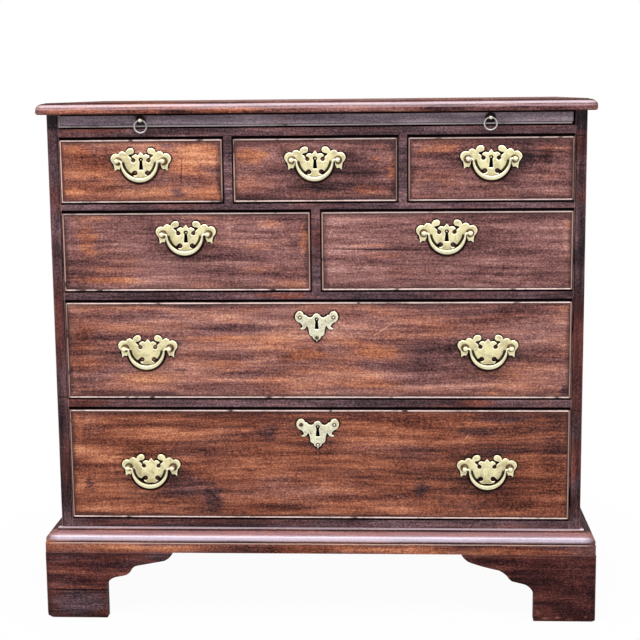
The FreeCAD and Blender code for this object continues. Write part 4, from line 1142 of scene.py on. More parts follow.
def arc(first: tuple, middle: tuple, last: tuple, count: int) -> np.ndarray:
    """Points on the circle through three points.

    The centre is where the perpendicular bisectors of the two chords meet; the angle runs
    evenly from the first point through the middle one to the last.

    Args:
        first, middle, last: points in a plane.
        count: of points, both ends among them.

    Returns:
        An array of shape (count, 2).
    """
    a, b, c = (np.array(point, float) for point in (first, middle, last))
    system = 2 * np.array([b - a, c - a])
    centre = np.linalg.solve(system, [b @ b - a @ a, c @ c - a @ a])
    angles = [math.atan2(*(point - centre)[::-1]) for point in (a, b, c)]
    turn = (angles[2] - angles[0]) % (2 * math.pi)
    if (angles[1] - angles[0]) % (2 * math.pi) > turn:
        turn -= 2 * math.pi
    sweep = angles[0] + turn * np.linspace(0, 1, count)
    return centre + np.hypot(*(a - centre)) * np.stack([np.cos(sweep), np.sin(sweep)], axis=1)


def trace(start: tuple, steps: list, bow: int = 7) -> np.ndarray:
    """Outline from steps: a single point ends a line, and a pair is an arc's middle and end.

    Args:
        start: first point.
        steps: the outline's lines and arcs.
        bow: points on each arc.

    Returns:
        The outline's points, shape (n, 2).
    """
    points = [np.array([start], float)]
    for step in steps:
        if len(step) == 1:
            points.append(np.array(step, float))
        else:
            points.append(arc(points[-1][-1], step[0], step[1], bow)[1:])
    return np.concatenate(points)


@dataclass(frozen=True)
class Rectangle:
    """Rectangle in a plane, whose corners may be rounded."""

    left: float
    right: float
    low: float
    high: float

    def corner(self, index: int, insets: tuple, radius: float, count: int) -> np.ndarray:
        """Quarter round at one corner.

        The centre stands in from both sides by the larger of inset and radius, and the radius
        shrinks by the inset.

        Args:
            index: 0 is the low left corner, and the others follow counter-clockwise.
            insets: of the left, low, right and high side.
            radius: of the corner without an inset.
            count: of points.

        Returns:
            Points of shape (count, 2).
        """
        left, low, right, high = insets
        inset_x = left if index in (0, 3) else right
        inset_y = low if index in (0, 1) else high
        turn = math.radians(180 + 90 * index)
        small = max(radius - max(inset_x, inset_y), 0.0)
        x = (self.left + inset_x + small) if index in (0, 3) else (self.right - inset_x - small)
        y = (self.low + inset_y + small) if index in (0, 1) else (self.high - inset_y - small)
        angles = turn + math.pi / 2 * np.linspace(0, 1, count)
        return np.array([x, y]) + small * np.stack([np.cos(angles), np.sin(angles)], axis=1)

    def loop(self, insets: tuple, radius: float = 0.0, step: float = 0.006, bow: int = 1,
             high_round: bool = True) -> np.ndarray:
        """Closed run round the rectangle, counter-clockwise from its low left corner.

        Args:
            insets: how far the run stands in, at the left, low, right and high side.
            radius: of the outermost corners.
            step: rough distance between points on the straights.
            bow: points at each corner.
            high_round: whether the two high corners are rounded as well.

        Returns:
            Points of shape (n, 2), with the same n for all insets.
        """
        width, height = self.right - self.left, self.high - self.low
        runs = [max(2, round(size / step)) for size in (width, height, width, height)]
        bows = [self.corner(index, insets, radius if index < 2 or high_round else 0.0, bow)
                for index in range(4)]
        points = []
        for index in range(4):
            points.append(bows[index])
            share = np.linspace(0, 1, runs[index] + 1)[1:-1, None]
            end = bows[(index + 1) % 4][0]
            points.append(bows[index][-1] * (1 - share) + end * share)
        return np.concatenate(points)

    def horseshoe(self, inset: float, radius: float, step: float, bow: int) -> np.ndarray:
        """Open run down the left side, along the low side and up the right side.

        Args:
            inset: how far it stands in from the three sides.
            radius: of the outermost corners.
            step: rough distance between points on the straights.
            bow: points at each corner.

        Returns:
            Points of shape (n, 2).
        """
        insets = (inset, inset, inset, 0.0)
        first = self.corner(0, insets, radius, bow)
        second = self.corner(1, insets, radius, bow)
        height, width = self.high - self.low, self.right - self.left
        down = np.linspace(0, 1, round(height / step) + 1)[:-1, None]
        over = np.linspace(0, 1, round(width / step) + 1)[1:-1, None]
        start = np.array([first[0][0], self.high])
        end = np.array([second[-1][0], self.high])
        return np.concatenate([
            start * (1 - down) + first[0] * down, first,
            first[-1] * (1 - over) + second[0] * over, second,
            (end * (1 - down) + second[-1] * down)[::-1]])


def lengths(run: np.ndarray, closed: bool = True) -> tuple[np.ndarray, float]:
    """Measures along a run of points.

    Args:
        run: points of shape (n, 2).
        closed: whether its end joins its start.

    Returns:
        Distance along it at each point, and its whole length.
    """
    ahead = np.roll(run, -1, axis=0) if closed else run[1:]
    gaps = np.linalg.norm(ahead - run[:len(ahead)], axis=1)
    along = np.concatenate([[0.0], np.cumsum(gaps)])
    return along[:len(run)], float(along[-1])


def vertices(mesh: bpy.types.Mesh) -> np.ndarray:
    """A mesh's points, shape (n, 3)."""
    points = np.zeros(len(mesh.vertices) * 3)
    mesh.vertices.foreach_get("co", points)
    return points.reshape(-1, 3)


# Points nearer to each other than this are one.
DOUBLE = 2e-6


class Shell:
    """Gathers grids of points into one mesh."""

    def __init__(self) -> None:
        """Starts empty."""
        self.points: list[np.ndarray] = []
        self.faces: list[list[int]] = []
        self.marks: list[np.ndarray] = []
        self.count = 0

    def grid(self, points: np.ndarray, round_rows: bool = False, round_columns: bool = False,
             caps: bool = False, mark: np.ndarray | float = 0.0) -> None:
        """Adds a surface: point (row, column) joins its neighbours in a quadrilateral.

        Args:
            points: array of shape (rows, columns, 3).
            round_rows: whether the last row joins the first.
            round_columns: whether the last column joins the first.
            caps: whether the first and last row are each closed by one flat face.
            mark: amount that is kept for each point as its attribute.
        """
        rows, columns = points.shape[:2]
        index = np.arange(rows * columns).reshape(rows, columns) + self.count
        near = index if round_rows else index[:-1]
        far = np.roll(index, -1, axis=0)[:len(near)]
        if round_columns:
            quads = np.stack([near, np.roll(near, -1, 1), np.roll(far, -1, 1), far], axis=-1)
        else:
            quads = np.stack([near[:, :-1], near[:, 1:], far[:, 1:], far[:, :-1]], axis=-1)
        self.faces += quads.reshape(-1, 4).tolist()
        if caps:
            self.faces += [index[0][::-1].tolist(), index[-1].tolist()]
        self.points.append(points.reshape(-1, 3))
        self.marks.append(np.broadcast_to(mark, (rows, columns)).reshape(-1))
        self.count += rows * columns

    def soup(self, points: np.ndarray, faces: Faces, mark: np.ndarray | float = 0.0) -> None:
        """Adds points and faces as they are."""
        self.faces += [[corner + self.count for corner in face] for face in faces]
        self.points.append(points)
        self.marks.append(np.broadcast_to(mark, (len(points),)))
        self.count += len(points)

    def turn(self, profile: np.ndarray, centre: tuple, mark: np.ndarray | float = 0.0,
             hollow: bool = False, sides: int = 28) -> None:
        """Adds a surface turned round an axis along Y.

        Each profile point is a (depth, radius) pair; it is carried round the axis through the
        centre, with cosine and sine of the angle times the radius as X and Z.

        Args:
            profile: the pairs in order.
            centre: a point on the axis.
            mark: amount of each profile point.
            hollow: whether the profile is closed, as a nut's is.
            sides: steps round the axis.
        """
        angle = np.linspace(0, 2 * math.pi, sides, endpoint=False)
        depth, radius = profile[:, :1], profile[:, 1:]
        x = centre[0] + radius * np.cos(angle)
        z = centre[2] + radius * np.sin(angle)
        points = np.stack([x, np.broadcast_to(centre[1] + depth, x.shape), z], axis=-1)
        self.grid(points, hollow, True, not hollow, np.reshape(mark, (-1, 1)))

    def mesh(self, name: str, crease: float = 35.0) -> bpy.types.Mesh:
        """Closed mesh with its doubles merged and its faces turned outwards.

        Args:
            name: of the mesh.
            crease: angle in degrees above which an edge stays sharp.

        Returns:
            The mesh.
        """
        mesh = bpy.data.meshes.new(name)
        mesh.from_pydata(np.concatenate(self.points).tolist(), [], self.faces)
        layer = mesh.attributes.new("place", "FLOAT", "POINT")
        layer.data.foreach_set("value", np.concatenate(self.marks).astype(np.float32))
        work = bmesh.new()
        work.from_mesh(mesh)
        bmesh.ops.remove_doubles(work, verts=work.verts, dist=DOUBLE)
        bmesh.ops.dissolve_degenerate(work, edges=work.edges, dist=DOUBLE)
        bmesh.ops.recalc_face_normals(work, faces=work.faces)
        work.to_mesh(mesh)
        work.free()
        mesh.polygons.foreach_set("use_smooth", np.ones(len(mesh.polygons), bool))
        mesh.set_sharp_from_angle(angle=math.radians(crease))
        return mesh


def flat_board(outlines: list[np.ndarray], thickness: float, bevel: float, rounds: int = 1
               ) -> tuple[np.ndarray, Faces]:
    """Board or plate cut to an outline, with its rims bevelled.

    A flat curve through the outlines, filled and thickened; inner outlines are holes.

    Args:
        outlines: closed outlines of shape (n, 2), the outer one first.
        thickness: of the board.
        bevel: width of its bevelled rims.
        rounds: steps across a rim.

    Returns:
        Points as (across, up, depth), with depth 0 at the face, and the faces.
    """
    curve = bpy.data.curves.new("cut", "CURVE")
    curve.dimensions = "2D"
    curve.fill_mode = "BOTH"
    curve.extrude = thickness / 2 - bevel
    curve.bevel_depth = bevel
    curve.bevel_resolution = rounds
    curve.offset = -bevel
    for outline in outlines:
        spline = curve.splines.new("POLY")
        spline.points.add(len(outline) - 1)
        flat = np.zeros((len(outline), 4))
        flat[:, :2] = outline
        spline.points.foreach_set("co", flat.ravel())
        spline.use_cyclic_u = True
    cut = bpy.data.objects.new("cut", curve)
    bpy.context.scene.collection.objects.link(cut)
    bpy.context.view_layer.update()
    mesh = bpy.data.meshes.new_from_object(cut.evaluated_get(
        bpy.context.evaluated_depsgraph_get()))
    points = vertices(mesh)
    points[:, 2] = thickness / 2 - points[:, 2]
    faces = [list(polygon.vertices) for polygon in mesh.polygons]
    bpy.data.objects.remove(cut)
    bpy.data.curves.remove(curve)
    bpy.data.meshes.remove(mesh)
    return points, faces


def crossed(points: np.ndarray, start: np.ndarray, end: np.ndarray) -> np.ndarray:
    """Whether points lie inside closed outlines.

    A point is inside where the level line to its right crosses the outlines' edges an odd
    number of times.

    Args:
        points: of shape (n, 2).
        start, end: both ends of the outlines' edges, shape (m, 2).

    Returns:
        Whether each point is inside.
    """
    x, y = points[:, :1], points[:, 1:]
    spans = (start[:, 1] > y) != (end[:, 1] > y)
    rise = np.where(end[:, 1] == start[:, 1], 1.0, end[:, 1] - start[:, 1])
    cut = start[:, 0] + (y - start[:, 1]) / rise * (end[:, 0] - start[:, 0])
    return (spans & (x < cut)).sum(axis=1) % 2 == 1


def away_from(points: np.ndarray, start: np.ndarray, end: np.ndarray) -> np.ndarray:
    """Distance of points to the nearest of many edges.

    It is measured to the foot of the plumb line, kept between the edge's ends.

    Args:
        points: of shape (n, 2).
        start, end: both ends of the edges, shape (m, 2).

    Returns:
        The distance of each point.
    """
    edge = end - start
    share = ((points[:, None] - start) * edge).sum(axis=2) / (edge ** 2).sum(axis=1)
    foot = start + np.clip(share, 0, 1)[..., None] * edge
    return np.linalg.norm(points[:, None] - foot, axis=2).min(axis=1)


@dataclass(frozen=True)
class Casting:
    """A thin cast plate with its rim rounded off and its face faintly uneven."""

    thickness: float = 1.8 * MM
    rim: float = 1.5 * MM
    drop: float = 0.6 * MM
    spacing: float = 0.75 * MM
    unevenness: float = 0.05 * MM

    def depth(self, points: np.ndarray, away: np.ndarray) -> np.ndarray:
        """Depth of the face: a quarter round over the rim plus two crossing low waves."""
        left = np.clip(1 - away / self.rim, 0, 1)
        waves = 2 + np.sin(points[:, 0] * 420) + np.cos(points[:, 1] * 510 + 1)
        return self.drop * (1 - np.sqrt(1 - left ** 2)) + self.unevenness * waves

    def add(self, shell: Shell, outlines: list[np.ndarray], x: float, z: float) -> None:
        """Adds a plate to a shell.

        Points on an even grid inside the outlines are joined to triangles with the outlines'
        own points; a plain back and a wall along each outline close it.

        Args:
            shell: what it is added to.
            outlines: closed outlines, the outer one first and holes after it.
            x, z: the place of the outlines' origin on the front.
        """
        start = np.concatenate(outlines)
        end = np.concatenate([np.roll(outline, -1, axis=0) for outline in outlines])
        low, high = start.min(axis=0), start.max(axis=0)
        grid = np.stack(np.meshgrid(*(np.arange(first, last, self.spacing) for first, last
                                      in zip(low, high)), indexing="ij"), -1).reshape(-1, 2)
        grid = grid[crossed(grid, start, end)]
        grid = grid[away_from(grid, start, end) > 0.45 * self.spacing]
        number, loops = 0, []
        for outline in outlines:
            index = np.arange(len(outline)) + number
            loops += np.stack([index, np.roll(index, -1)], axis=1).tolist()
            number += len(outline)
        face_y = FRONT - self.thickness
        for inner, back in ((grid, False), (grid[:0], True)):
            points, faces = delaunay(np.concatenate([start, inner]), loops)
            faces = faces[crossed(points[faces].mean(axis=1), start, end)]
            away = away_from(points, start, end)
            depth = np.full(len(points), self.thickness) if back else self.depth(points, away)
            place = np.stack([x + points[:, 0], face_y + depth, z + points[:, 1]], axis=1)
            # Outline dark with patina and painted shade, the rim inside it pale with a painted
            # highlight.
            lit = np.where(away < 0.2 * MM, 1.0, np.clip(away / self.rim - 1.2, -1, 0))
            shell.soup(place, faces.tolist(), lit * (not back))
        # The walls dark with patina and painted shade.
        walls = np.array(loops)
        edge_depth = self.depth(start, np.zeros(len(start)))
        ring = np.stack([x + start[:, 0], face_y + edge_depth, z + start[:, 1]], axis=1)
        far = np.stack([ring[:, 0], np.full(len(ring), FRONT), ring[:, 2]], axis=1)
        quads = np.column_stack([walls, walls[:, ::-1] + len(start)])
        shell.soup(np.concatenate([ring, far]), quads.tolist(), 1.0)


def delaunay(points: np.ndarray, loops: list) -> tuple[np.ndarray, np.ndarray]:
    """Points and triangles of the even net that keeps all edges of the loops."""
    net = delaunay_2d_cdt([Vector(point) for point in points], loops, [], 1, 1e-9, False)
    return np.array([tuple(point) for point in net[0]]), np.array(net[2])


def dome(middle: float, deep: float, wide: float, angles: tuple[float, float], count: int
         ) -> np.ndarray:
    """Part of an oval as (depth, radius): its half sizes times cosine and sine of the angle.

    Args:
        middle: depth of the oval's middle.
        deep, wide: its half sizes.
        angles: from the tip, in degrees, where it starts and ends.
        count: of points.
    """
    turn = np.radians(np.linspace(*angles, count))
    return np.stack([middle - deep * np.cos(turn), wide * np.sin(turn)], axis=1)


def put(name: str, mesh: bpy.types.Mesh, body: str,
        finish: Wood | Bead | Metal, stands_for: str) -> None:
    """Makes a piece of a mesh, lets it ride on a body and gives it its finish.

    Args:
        name: of the piece.
        mesh: already in place.
        body: that it moves with.
        finish: what it is finished with.
        stands_for: node that it takes the place of.
    """
    piece = bpy.data.objects.new(name, mesh)
    bpy.context.scene.collection.objects.link(piece)
    mesh.materials.append(finish.material())
    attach(piece, body)
    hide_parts(stands_for)
    log.info("%s: %d faces on %s", name, len(mesh.polygons), body)


def dress(node: str, finish: Wood | Bead | Metal) -> None:
    """Gives a node of the frame its finish."""
    data = frame["nodes"][node].data
    data.materials.clear()
    data.materials.append(finish.material())
    log.info("%s: finished", node)


def edges(node: str) -> tuple[float, ...]:
    """Low and high corner of a node in one row of six numbers."""
    low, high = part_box(node)
    return (*low, *high)


# ------------------------------------------------------------------ carcase and base
def openings() -> tuple[tuple[float, ...], ...]:
    """Finds the openings of drawers and slide in the carcase's front.

    Returns:
        Left, right, low and high border of each.
    """
    found = []
    for node in sorted(frame["nodes"]):
        if node.endswith("_cock_beads") or node == "slide_board":
            low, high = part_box(node)
            above = (0.9 if node == "slide_board" else 1.4) * MM
            found.append((low.x - 1.0 * MM, high.x + 1.0 * MM, low.z - 0.4 * MM,
                          high.z + above))
    return tuple(found)


def bitten(run: np.ndarray, bite: np.ndarray, inset: float, low: Vector, high: Vector
           ) -> np.ndarray:
    """Moves the front and sides of a moulding's run inwards.

    Args:
        run: points in plan, shape (n, 2).
        bite: how far each moves.
        inset: of the run inside the moulding's box.
        low, high: the box's corners.

    Returns:
        The moved points.
    """
    reach = inset + 3 * MM
    on_side = np.abs(run[:, 0]) > high.x - reach
    on_front = run[:, 1] < low.y + reach
    inward = np.stack([-np.sign(run[:, 0]) * on_side, 1.0 * on_front], axis=1)
    return run + inward * bite[:, None]


@dataclass(frozen=True)
class TopBoard:
    """Top with a moulded edge: a small quirk over a broad round nose, rounded under."""

    node: str = "top_board"
    flat_inset: float = 14.0 * MM
    quirk: float = 0.9 * MM
    nose_wide: float = 12.8 * MM
    nose_high: float = 11.2 * MM
    nose_flat: float = 3.4 * MM
    under_radius: float = 3.2 * MM
    corner_radius: float = 5.0 * MM

    def profile(self, thickness: float) -> np.ndarray:
        """Edge of the top: a small step down, a quarter of an oval out to the nose and a
        quarter round under it.

        Args:
            thickness: of the board.

        Returns:
            Its points as (inset, drop) from the upper face to the underside.
        """
        turn = np.radians(np.linspace(0, 90, 13))
        quirk = np.array([[self.flat_inset, 0.0], [self.flat_inset - 0.3 * MM, 0.2 * MM],
                          [self.flat_inset - 0.4 * MM, self.quirk]])
        first = np.stack([self.nose_wide * (1 - np.sin(turn)),
                          self.quirk + self.nose_high * (1 - np.cos(turn))], axis=1)
        flat = np.array([[0.0, self.quirk + self.nose_high + self.nose_flat / 2]])
        short = np.radians(np.linspace(0, 90, 7))
        under = thickness - self.under_radius
        third = np.stack([self.under_radius * (1 - np.cos(short)),
                          under + self.under_radius * np.sin(short)], axis=1)
        return np.concatenate([quirk, first, flat, third])

    def build(self) -> None:
        """Carries the profile round the front and both ends, worn and chipped at its arrises."""
        low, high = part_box(self.node)
        plan = Rectangle(low.x, high.x, low.y, high.y)
        rows = []
        for number, (inset, drop) in enumerate(self.profile(high.z - low.z)):
            run = plan.loop((inset, inset, inset, 0.0), self.corner_radius, 4 * MM, 6, False)
            if number == 0:
                along, length = lengths(run)
            bite = np.abs(waver(along, length, 0.05, 0.14 * MM, 5 + number // 8))
            if number < 6:
                bite += chips(along, length, 46, 5 * MM, 1.1 * MM, 40)
            if number >= 20:
                bite += chips(along, length, 40, 6 * MM, 1.5 * MM, 60)
            z = high.z - drop - np.where(number < 3, 0.25, 0.0) * bite
            bite = np.where(run[:, 1] > high.y - 1 * MM, 0.0, bite)
            rows.append(np.column_stack([bitten(run, bite, inset, low, high), z]))
        shell = Shell()
        shell.grid(np.array(rows), round_columns=True, caps=True)
        # Its finish lays painted highlights and painted shade lines along the moulded edge.
        finish = Wood("top_mahogany", Grain.ACROSS, COOL, WARM, seed=3.1, warmth=0.35,
                      lift=-0.05, soot_share=0.6, wax=0.07, wax_rough=0.22,
                      wax_ior=1.8, rough=0.46, contrast=1.15, stripes=TOP_PAINTED_LIGHT,
                      stripes_reach=0.466, stripes_back=-0.2352,
                      polished=((0.8680, 0.8730),), face=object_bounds()[0].y, marks=TOP)
        put("top", shell.mesh("top"), "carcase", finish, self.node)


@dataclass(frozen=True)
class BaseMoulding:
    """Moulding round the base: fillet, hollow and swell over a flat band."""

    node: str = "base_moulding"
    projection: float = 25.0 * MM
    wall: float = 24.0 * MM
    corner_radius: float = 3.0 * MM
    fillet_projection: float = 6.0 * MM
    band: float = 17.0 * MM

    def profile(self, height: float) -> np.ndarray:
        """Face of the moulding.

        Args:
            height: of the moulding.

        Returns:
            Its points as (inset from the band, height) from the top down to the band's foot.
        """
        top = self.projection - self.fillet_projection
        lip = self.band
        face = [
            np.array([[top, height], [top, height - 3.0 * MM], [top - 1 * MM, height - 3 * MM]]),
            arc((top - 1.0 * MM, height - 3.0 * MM), (top - 2.4 * MM, height - 5.6 * MM),
                (14.2 * MM, height - 6.6 * MM), 8)[1:],
            arc((14.2 * MM, height - 6.6 * MM), (3.6 * MM, height - 10.2 * MM),
                (1.6 * MM, lip + 1.2 * MM), 12)[1:],
            np.array([[1.6 * MM, lip], [0.3 * MM, lip], [0.0, lip - 0.4 * MM],
                      [0.0, lip / 2], [0.0, 0.5 * MM], [0.5 * MM, 0.0]]),
        ]
        return np.concatenate(face)

    def build(self) -> None:
        """Carries the profile round the front and sides and closes it inside."""
        low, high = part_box(self.node)
        plan = Rectangle(low.x, high.x, low.y, high.y)
        profile = self.profile(high.z - low.z)
        inner = np.array([[self.projection, 0.0], [self.projection, high.z - low.z]])
        rows = []
        for number, (inset, up) in enumerate(np.concatenate([profile, inner])):
            run = plan.horseshoe(inset, self.corner_radius, 5 * MM, 6)
            if number == 0:
                along, length = lengths(run, closed=False)
            bite = np.zeros(len(run))
            if number < len(profile):
                bite = np.abs(waver(along, length, 0.06, 0.16 * MM, 11 + number // 6))
            if 20 <= number <= 25:
                bite += chips(along, length, 34, 7 * MM, 1.6 * MM, 80)
            if number < 3:
                bite += chips(along, length, 26, 6 * MM, 1.0 * MM, 81)
            run = bitten(run, bite, inset, low, high)
            rows.append(np.column_stack([run, np.full(len(run), low.z + up)]))
        shell = Shell()
        shell.grid(np.array(rows).transpose(1, 0, 2), round_columns=True, caps=True)
        # Its finish lays painted highlights and painted shade in stripes along the front.
        finish = Wood("base_mahogany", Grain.ACROSS, COOL, WARM, seed=8.4, warmth=0.4,
                      lift=-0.12, wax=0.1, wax_rough=0.2, wax_ior=1.8, rough=0.4,
                      mitre=(high.x, low.y, self.wall),
                      polished=((0.1372, 0.1478), (0.1535, 0.1560)), stripes=BASE_PAINTED_LIGHT,
                      # Behind the front, the side returns are darker: painted shade.
                      stripes_reach=0.468, behind=(-0.3, -0.5),
                      face=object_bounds()[0].y, marks=BASE)
        put("base_mould", shell.mesh("base_mould"), "carcase", finish,
            self.node)


LEFT_BRACKET = [
    (116.0, 0.0), ((109.3, 9.0), (100.4, 14.8)), ((52.9, 23.7),), ((46.6, 27.2), (43.0, 32.3)),
    ((38.5, 37.6), (30.5, 41.2)), ((17.0, 43.9),), ((5.4, 50.2), (0.0, 60.0)),
]
RIGHT_BRACKET = [
    (122.5, 0.0), ((116.0, 8.8), (105.3, 15.2)), ((82.9, 22.0), (59.6, 27.5)),
    ((51.1, 32.5), (44.4, 38.5)), ((40.8, 43.5), (36.3, 46.8)), ((20.2, 50.8),),
    ((4.9, 60.0), (0.0, 72.6)),
]


@dataclass(frozen=True)
class Foot:
    """Bracket foot: two shaped boards mitred at the corner and a glue block behind them."""

    name: str
    hand: int
    front: bool
    worn: float
    height: float = 116.5 * MM
    width: float = 103.5 * MM
    thickness: float = 22.0 * MM
    block: float = 38.0 * MM
    block_lift: float = 3.0 * MM
    back_reach: float = 60.0 * MM

    def outline(self) -> np.ndarray:
        """Outline of a shaped board, its outer lower corner worn round.

        Returns:
            Its points as (distance from its outer corner, height).
        """
        start, *shaped = LEFT_BRACKET if self.hand < 0 else RIGHT_BRACKET
        tall, wide, worn = self.height / MM, self.width / MM, self.worn / MM
        bend = worn * (1 - math.sqrt(0.5))
        steps = shaped + [
            ((0.0, tall),), ((-wide + worn, tall),),
            ((-wide + bend, tall - bend), (-wide, tall - worn)), ((-wide, 0.0),)]
        points = trace(start, steps, 9) * MM
        return np.stack([points[:, 0] + self.width, self.height - points[:, 1]], axis=1)

    def outer(self) -> float:
        """X of the foot's outer face."""
        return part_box(self.name)[self.hand > 0].x

    def board(self, shell: Shell, side: bool, mitre: bool) -> None:
        """Adds one shaped board, cut back at the mitre through the foot's outer corner.

        Args:
            shell: what it is added to.
            side: whether it stands along the side of the chest.
            mitre: whether its outer end is mitred.
        """
        points, faces = flat_board([self.outline()], self.thickness, 0.9 * MM, 2)
        if mitre:
            points, faces = mitred(points, faces)
        along, up, depth = points.T
        over, back = (depth, along) if side else (along, depth)
        corner_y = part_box(self.name)[not self.front].y
        into = 1.0 if self.front else -1.0
        shell.soup(np.stack([self.outer() - self.hand * over, corner_y + into * back, up],
                            axis=1), faces)

    def slab(self, shell: Shell, outline: list[tuple], axis_y: float) -> None:
        """Adds a plain board standing along X, from (x, z) corners, with its face at a depth."""
        points, faces = flat_board([np.array(outline)], self.thickness, 0.8 * MM, 1)
        shell.soup(np.stack([points[:, 0], axis_y + points[:, 2], points[:, 1]], axis=1), faces)

    def build(self) -> None:
        """Makes the foot's boards and block as one piece."""
        low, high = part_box(self.name)
        shell = Shell()
        self.board(shell, side=True, mitre=self.front)
        inner = self.outer() - self.hand * self.thickness
        if self.front:
            self.board(shell, side=False, mitre=True)
            block_y = low.y + self.thickness
        else:
            reach = inner - self.hand * (self.width - self.thickness)
            tip = reach - self.hand * self.back_reach
            self.slab(shell, [(inner, 0.0), (reach, 0.0), (tip, self.height),
                              (inner, self.height)], high.y - self.thickness)
            block_y = high.y - self.thickness - self.block
        left, right = sorted((inner, inner - self.hand * self.block))
        plan = Rectangle(left, right, block_y, block_y + self.block)
        rows = []
        for inset, up in ((1.0 * MM, self.block_lift), (0.0, self.block_lift + 1 * MM),
                          (0.0, self.height)):
            run = plan.loop((inset,) * 4, 1.2 * MM, 0.04, 3)
            rows.append(np.column_stack([run, np.full(len(run), up)]))
        shell.grid(np.array(rows), round_columns=True, caps=True)
        stains = (LEFT_FOOT if self.hand < 0 else RIGHT_FOOT) if self.front else ()
        start = low.y - (0.0 if self.front else self.thickness)
        finish = Wood(self.name + "_mahogany", Grain.ACROSS, PLUM, RUST,
                      mitre=(abs(self.outer()), start, self.thickness),
                      seed=14.0 + self.hand * 3, lift=-0.13 - 0.03 * self.hand,
                      warmth=0.9 + 0.1 * self.hand, wax=0.15, box=edges(self.name),
                      edge=(150, 104, 90), edge_share=0.5, edge_width=2.2 * MM,
                      rim_share=0.5, face=low.y, marks=stains)
        put(self.name + "_boards", shell.mesh(self.name, 30.0), "carcase",
            finish, self.name)


def mitred(points: np.ndarray, faces: Faces) -> tuple[np.ndarray, Faces]:
    """Cuts a board's outer end at 45 degrees: what is left has its depth below its distance
    from the end.

    Args:
        points: of the board, as flat_board gives them.
        faces: of the board.

    Returns:
        Points and faces of what is left.
    """
    mesh = bpy.data.meshes.new("cut")
    mesh.from_pydata(points.tolist(), [], faces)
    work = bmesh.new()
    work.from_mesh(mesh)
    bmesh.ops.remove_doubles(work, verts=work.verts, dist=DOUBLE)
    parts = work.verts[:] + work.edges[:] + work.faces[:]
    bmesh.ops.bisect_plane(work, geom=parts, plane_co=(0, 0, 0), plane_no=(-1, 0, 1),
                           clear_outer=True)
    rim = [edge for edge in work.edges if edge.is_boundary]
    bmesh.ops.holes_fill(work, edges=rim, sides=0)
    work.verts.index_update()
    cut = np.array([vertex.co for vertex in work.verts])
    left = [[vertex.index for vertex in face.verts] for face in work.faces]
    work.free()
    bpy.data.meshes.remove(mesh)
    return cut, left


# Finish of the woods that were never polished, and the grey-brown dirt on the deal.
DRY = {"wax": 0.2, "wax_rough": 0.5, "relief": 0.35, "contrast": 0.7}
DEAL_DIRT = (70, 50, 38)


@dataclass(frozen=True)
class Carcase:
    """Sides, rails, uprights, back and the boards inside."""

    def build(self) -> None:
        """Finishes the parts of the frame that keep their shape."""
        front = {"soot_share": 0.5, "gaps": openings(), "face": FRONT}
        for seed, node, stains in ((21.0, "left_side", LEFT_STILE),
                                   (26.0, "right_side", RIGHT_STILE)):
            dress(node, Wood(node + "_mahogany", Grain.UP, PLUM, RUST, seed, -0.22, 0.35, 0.8,
                             box=edges(node), edge_share=0.5, marks=stains, **front))
        dress("drawer_rails", Wood("rail_mahogany", Grain.ACROSS, PLUM, RUST, 31.0, -0.11, 0.3,
                                   0.95, marks=RAILS, **front))
        dress("back_boards", Wood("back_pine", Grain.ACROSS, PINE, PINE, 41.0, rough=0.75,
                                  soot=DEAL_DIRT, box=edges("back_boards"), boards=4,
                                  rim_share=0.5, **DRY))
        dress("dustboards", Wood("dustboard_pine", Grain.ACROSS, PINE, PINE, 43.0, rough=0.8,
                                 soot=DEAL_DIRT, **DRY))
        dress("drawer_guides_and_stops", Wood("guide_oak", Grain.BACK, OAK, OAK, 47.0, rough=0.7,
                                              soot=(70, 52, 38), **DRY))


# ------------------------------------------------------------------ brasses
PLATE_START = (0.0, 14.8)
PLATE_HALF = [
    ((4.8, 8.8),), ((9.4, 10.2), (14.9, 5.7)), ((12.0, 4.4),), ((11.6, -2.8), (15.2, 3.4)),
    ((18.6, 6.6),), ((20.3, 8.9), (18.4, 10.3)), ((14.2, 11.2),), ((11.0, 16.4), (16.8, 20.9)),
    ((22.8, 18.2), (25.4, 12.7)), ((31.2, 15.5), (37.4, 10.8)), ((46.9, 9.9), (50.3, 2.6)),
    ((48.6, -1.6), (45.7, -4.8)), ((44.3, -11.5), (44.2, -18.0)), ((41.6, -14.9), (38.6, -13.5)),
    ((36.0, -14.3),), ((34.2, -11.2), (33.0, -6.0)), ((30.4, -3.6), (28.2, -6.0)),
    ((27.3, -10.5),), ((23.9, -17.3), (17.2, -21.0)), ((14.0, -18.2),),
    ((6.1, -20.2), (11.6, -24.2)), ((13.7, -23.6),), ((11.2, -27.4),),
    ((5.4, -28.6), (0.0, -28.2)),
]
ESCUTCHEON_START = (0.0, 10.0)
ESCUTCHEON_HALF = [
    ((3.6, 8.7), (6.9, 4.9)), ((11.8, 3.1), (16.2, 5.3)), ((18.0, 7.2),), ((21.6, 8.0),),
    ((27.8, 13.9), (34.4, 9.6)), ((35.9, 3.0), (30.9, -4.6)), ((25.4, -8.0), (23.4, -12.6)),
    ((25.6, -14.6), (28.4, -15.4)), ((24.2, -17.2), (18.0, -13.6)), ((16.4, -10.2),),
    ((14.0, -15.0), (13.0, -22.6)), ((11.4, -26.6), (6.9, -29.0)), ((5.6, -32.6), (1.7, -34.6)),
    ((0.0, -38.2),),
]
ESCUTCHEON_PINS = ((28.0, 3.4), (-28.0, 3.4), (0.0, -31.4))


def both_halves(start: tuple, half: list) -> np.ndarray:
    """Closed outline in metres from its right half and the mirror image of that."""
    right = trace(start, half, 9)
    left = right[-2:0:-1] * (-1, 1)
    return np.concatenate([right, left]) * MM


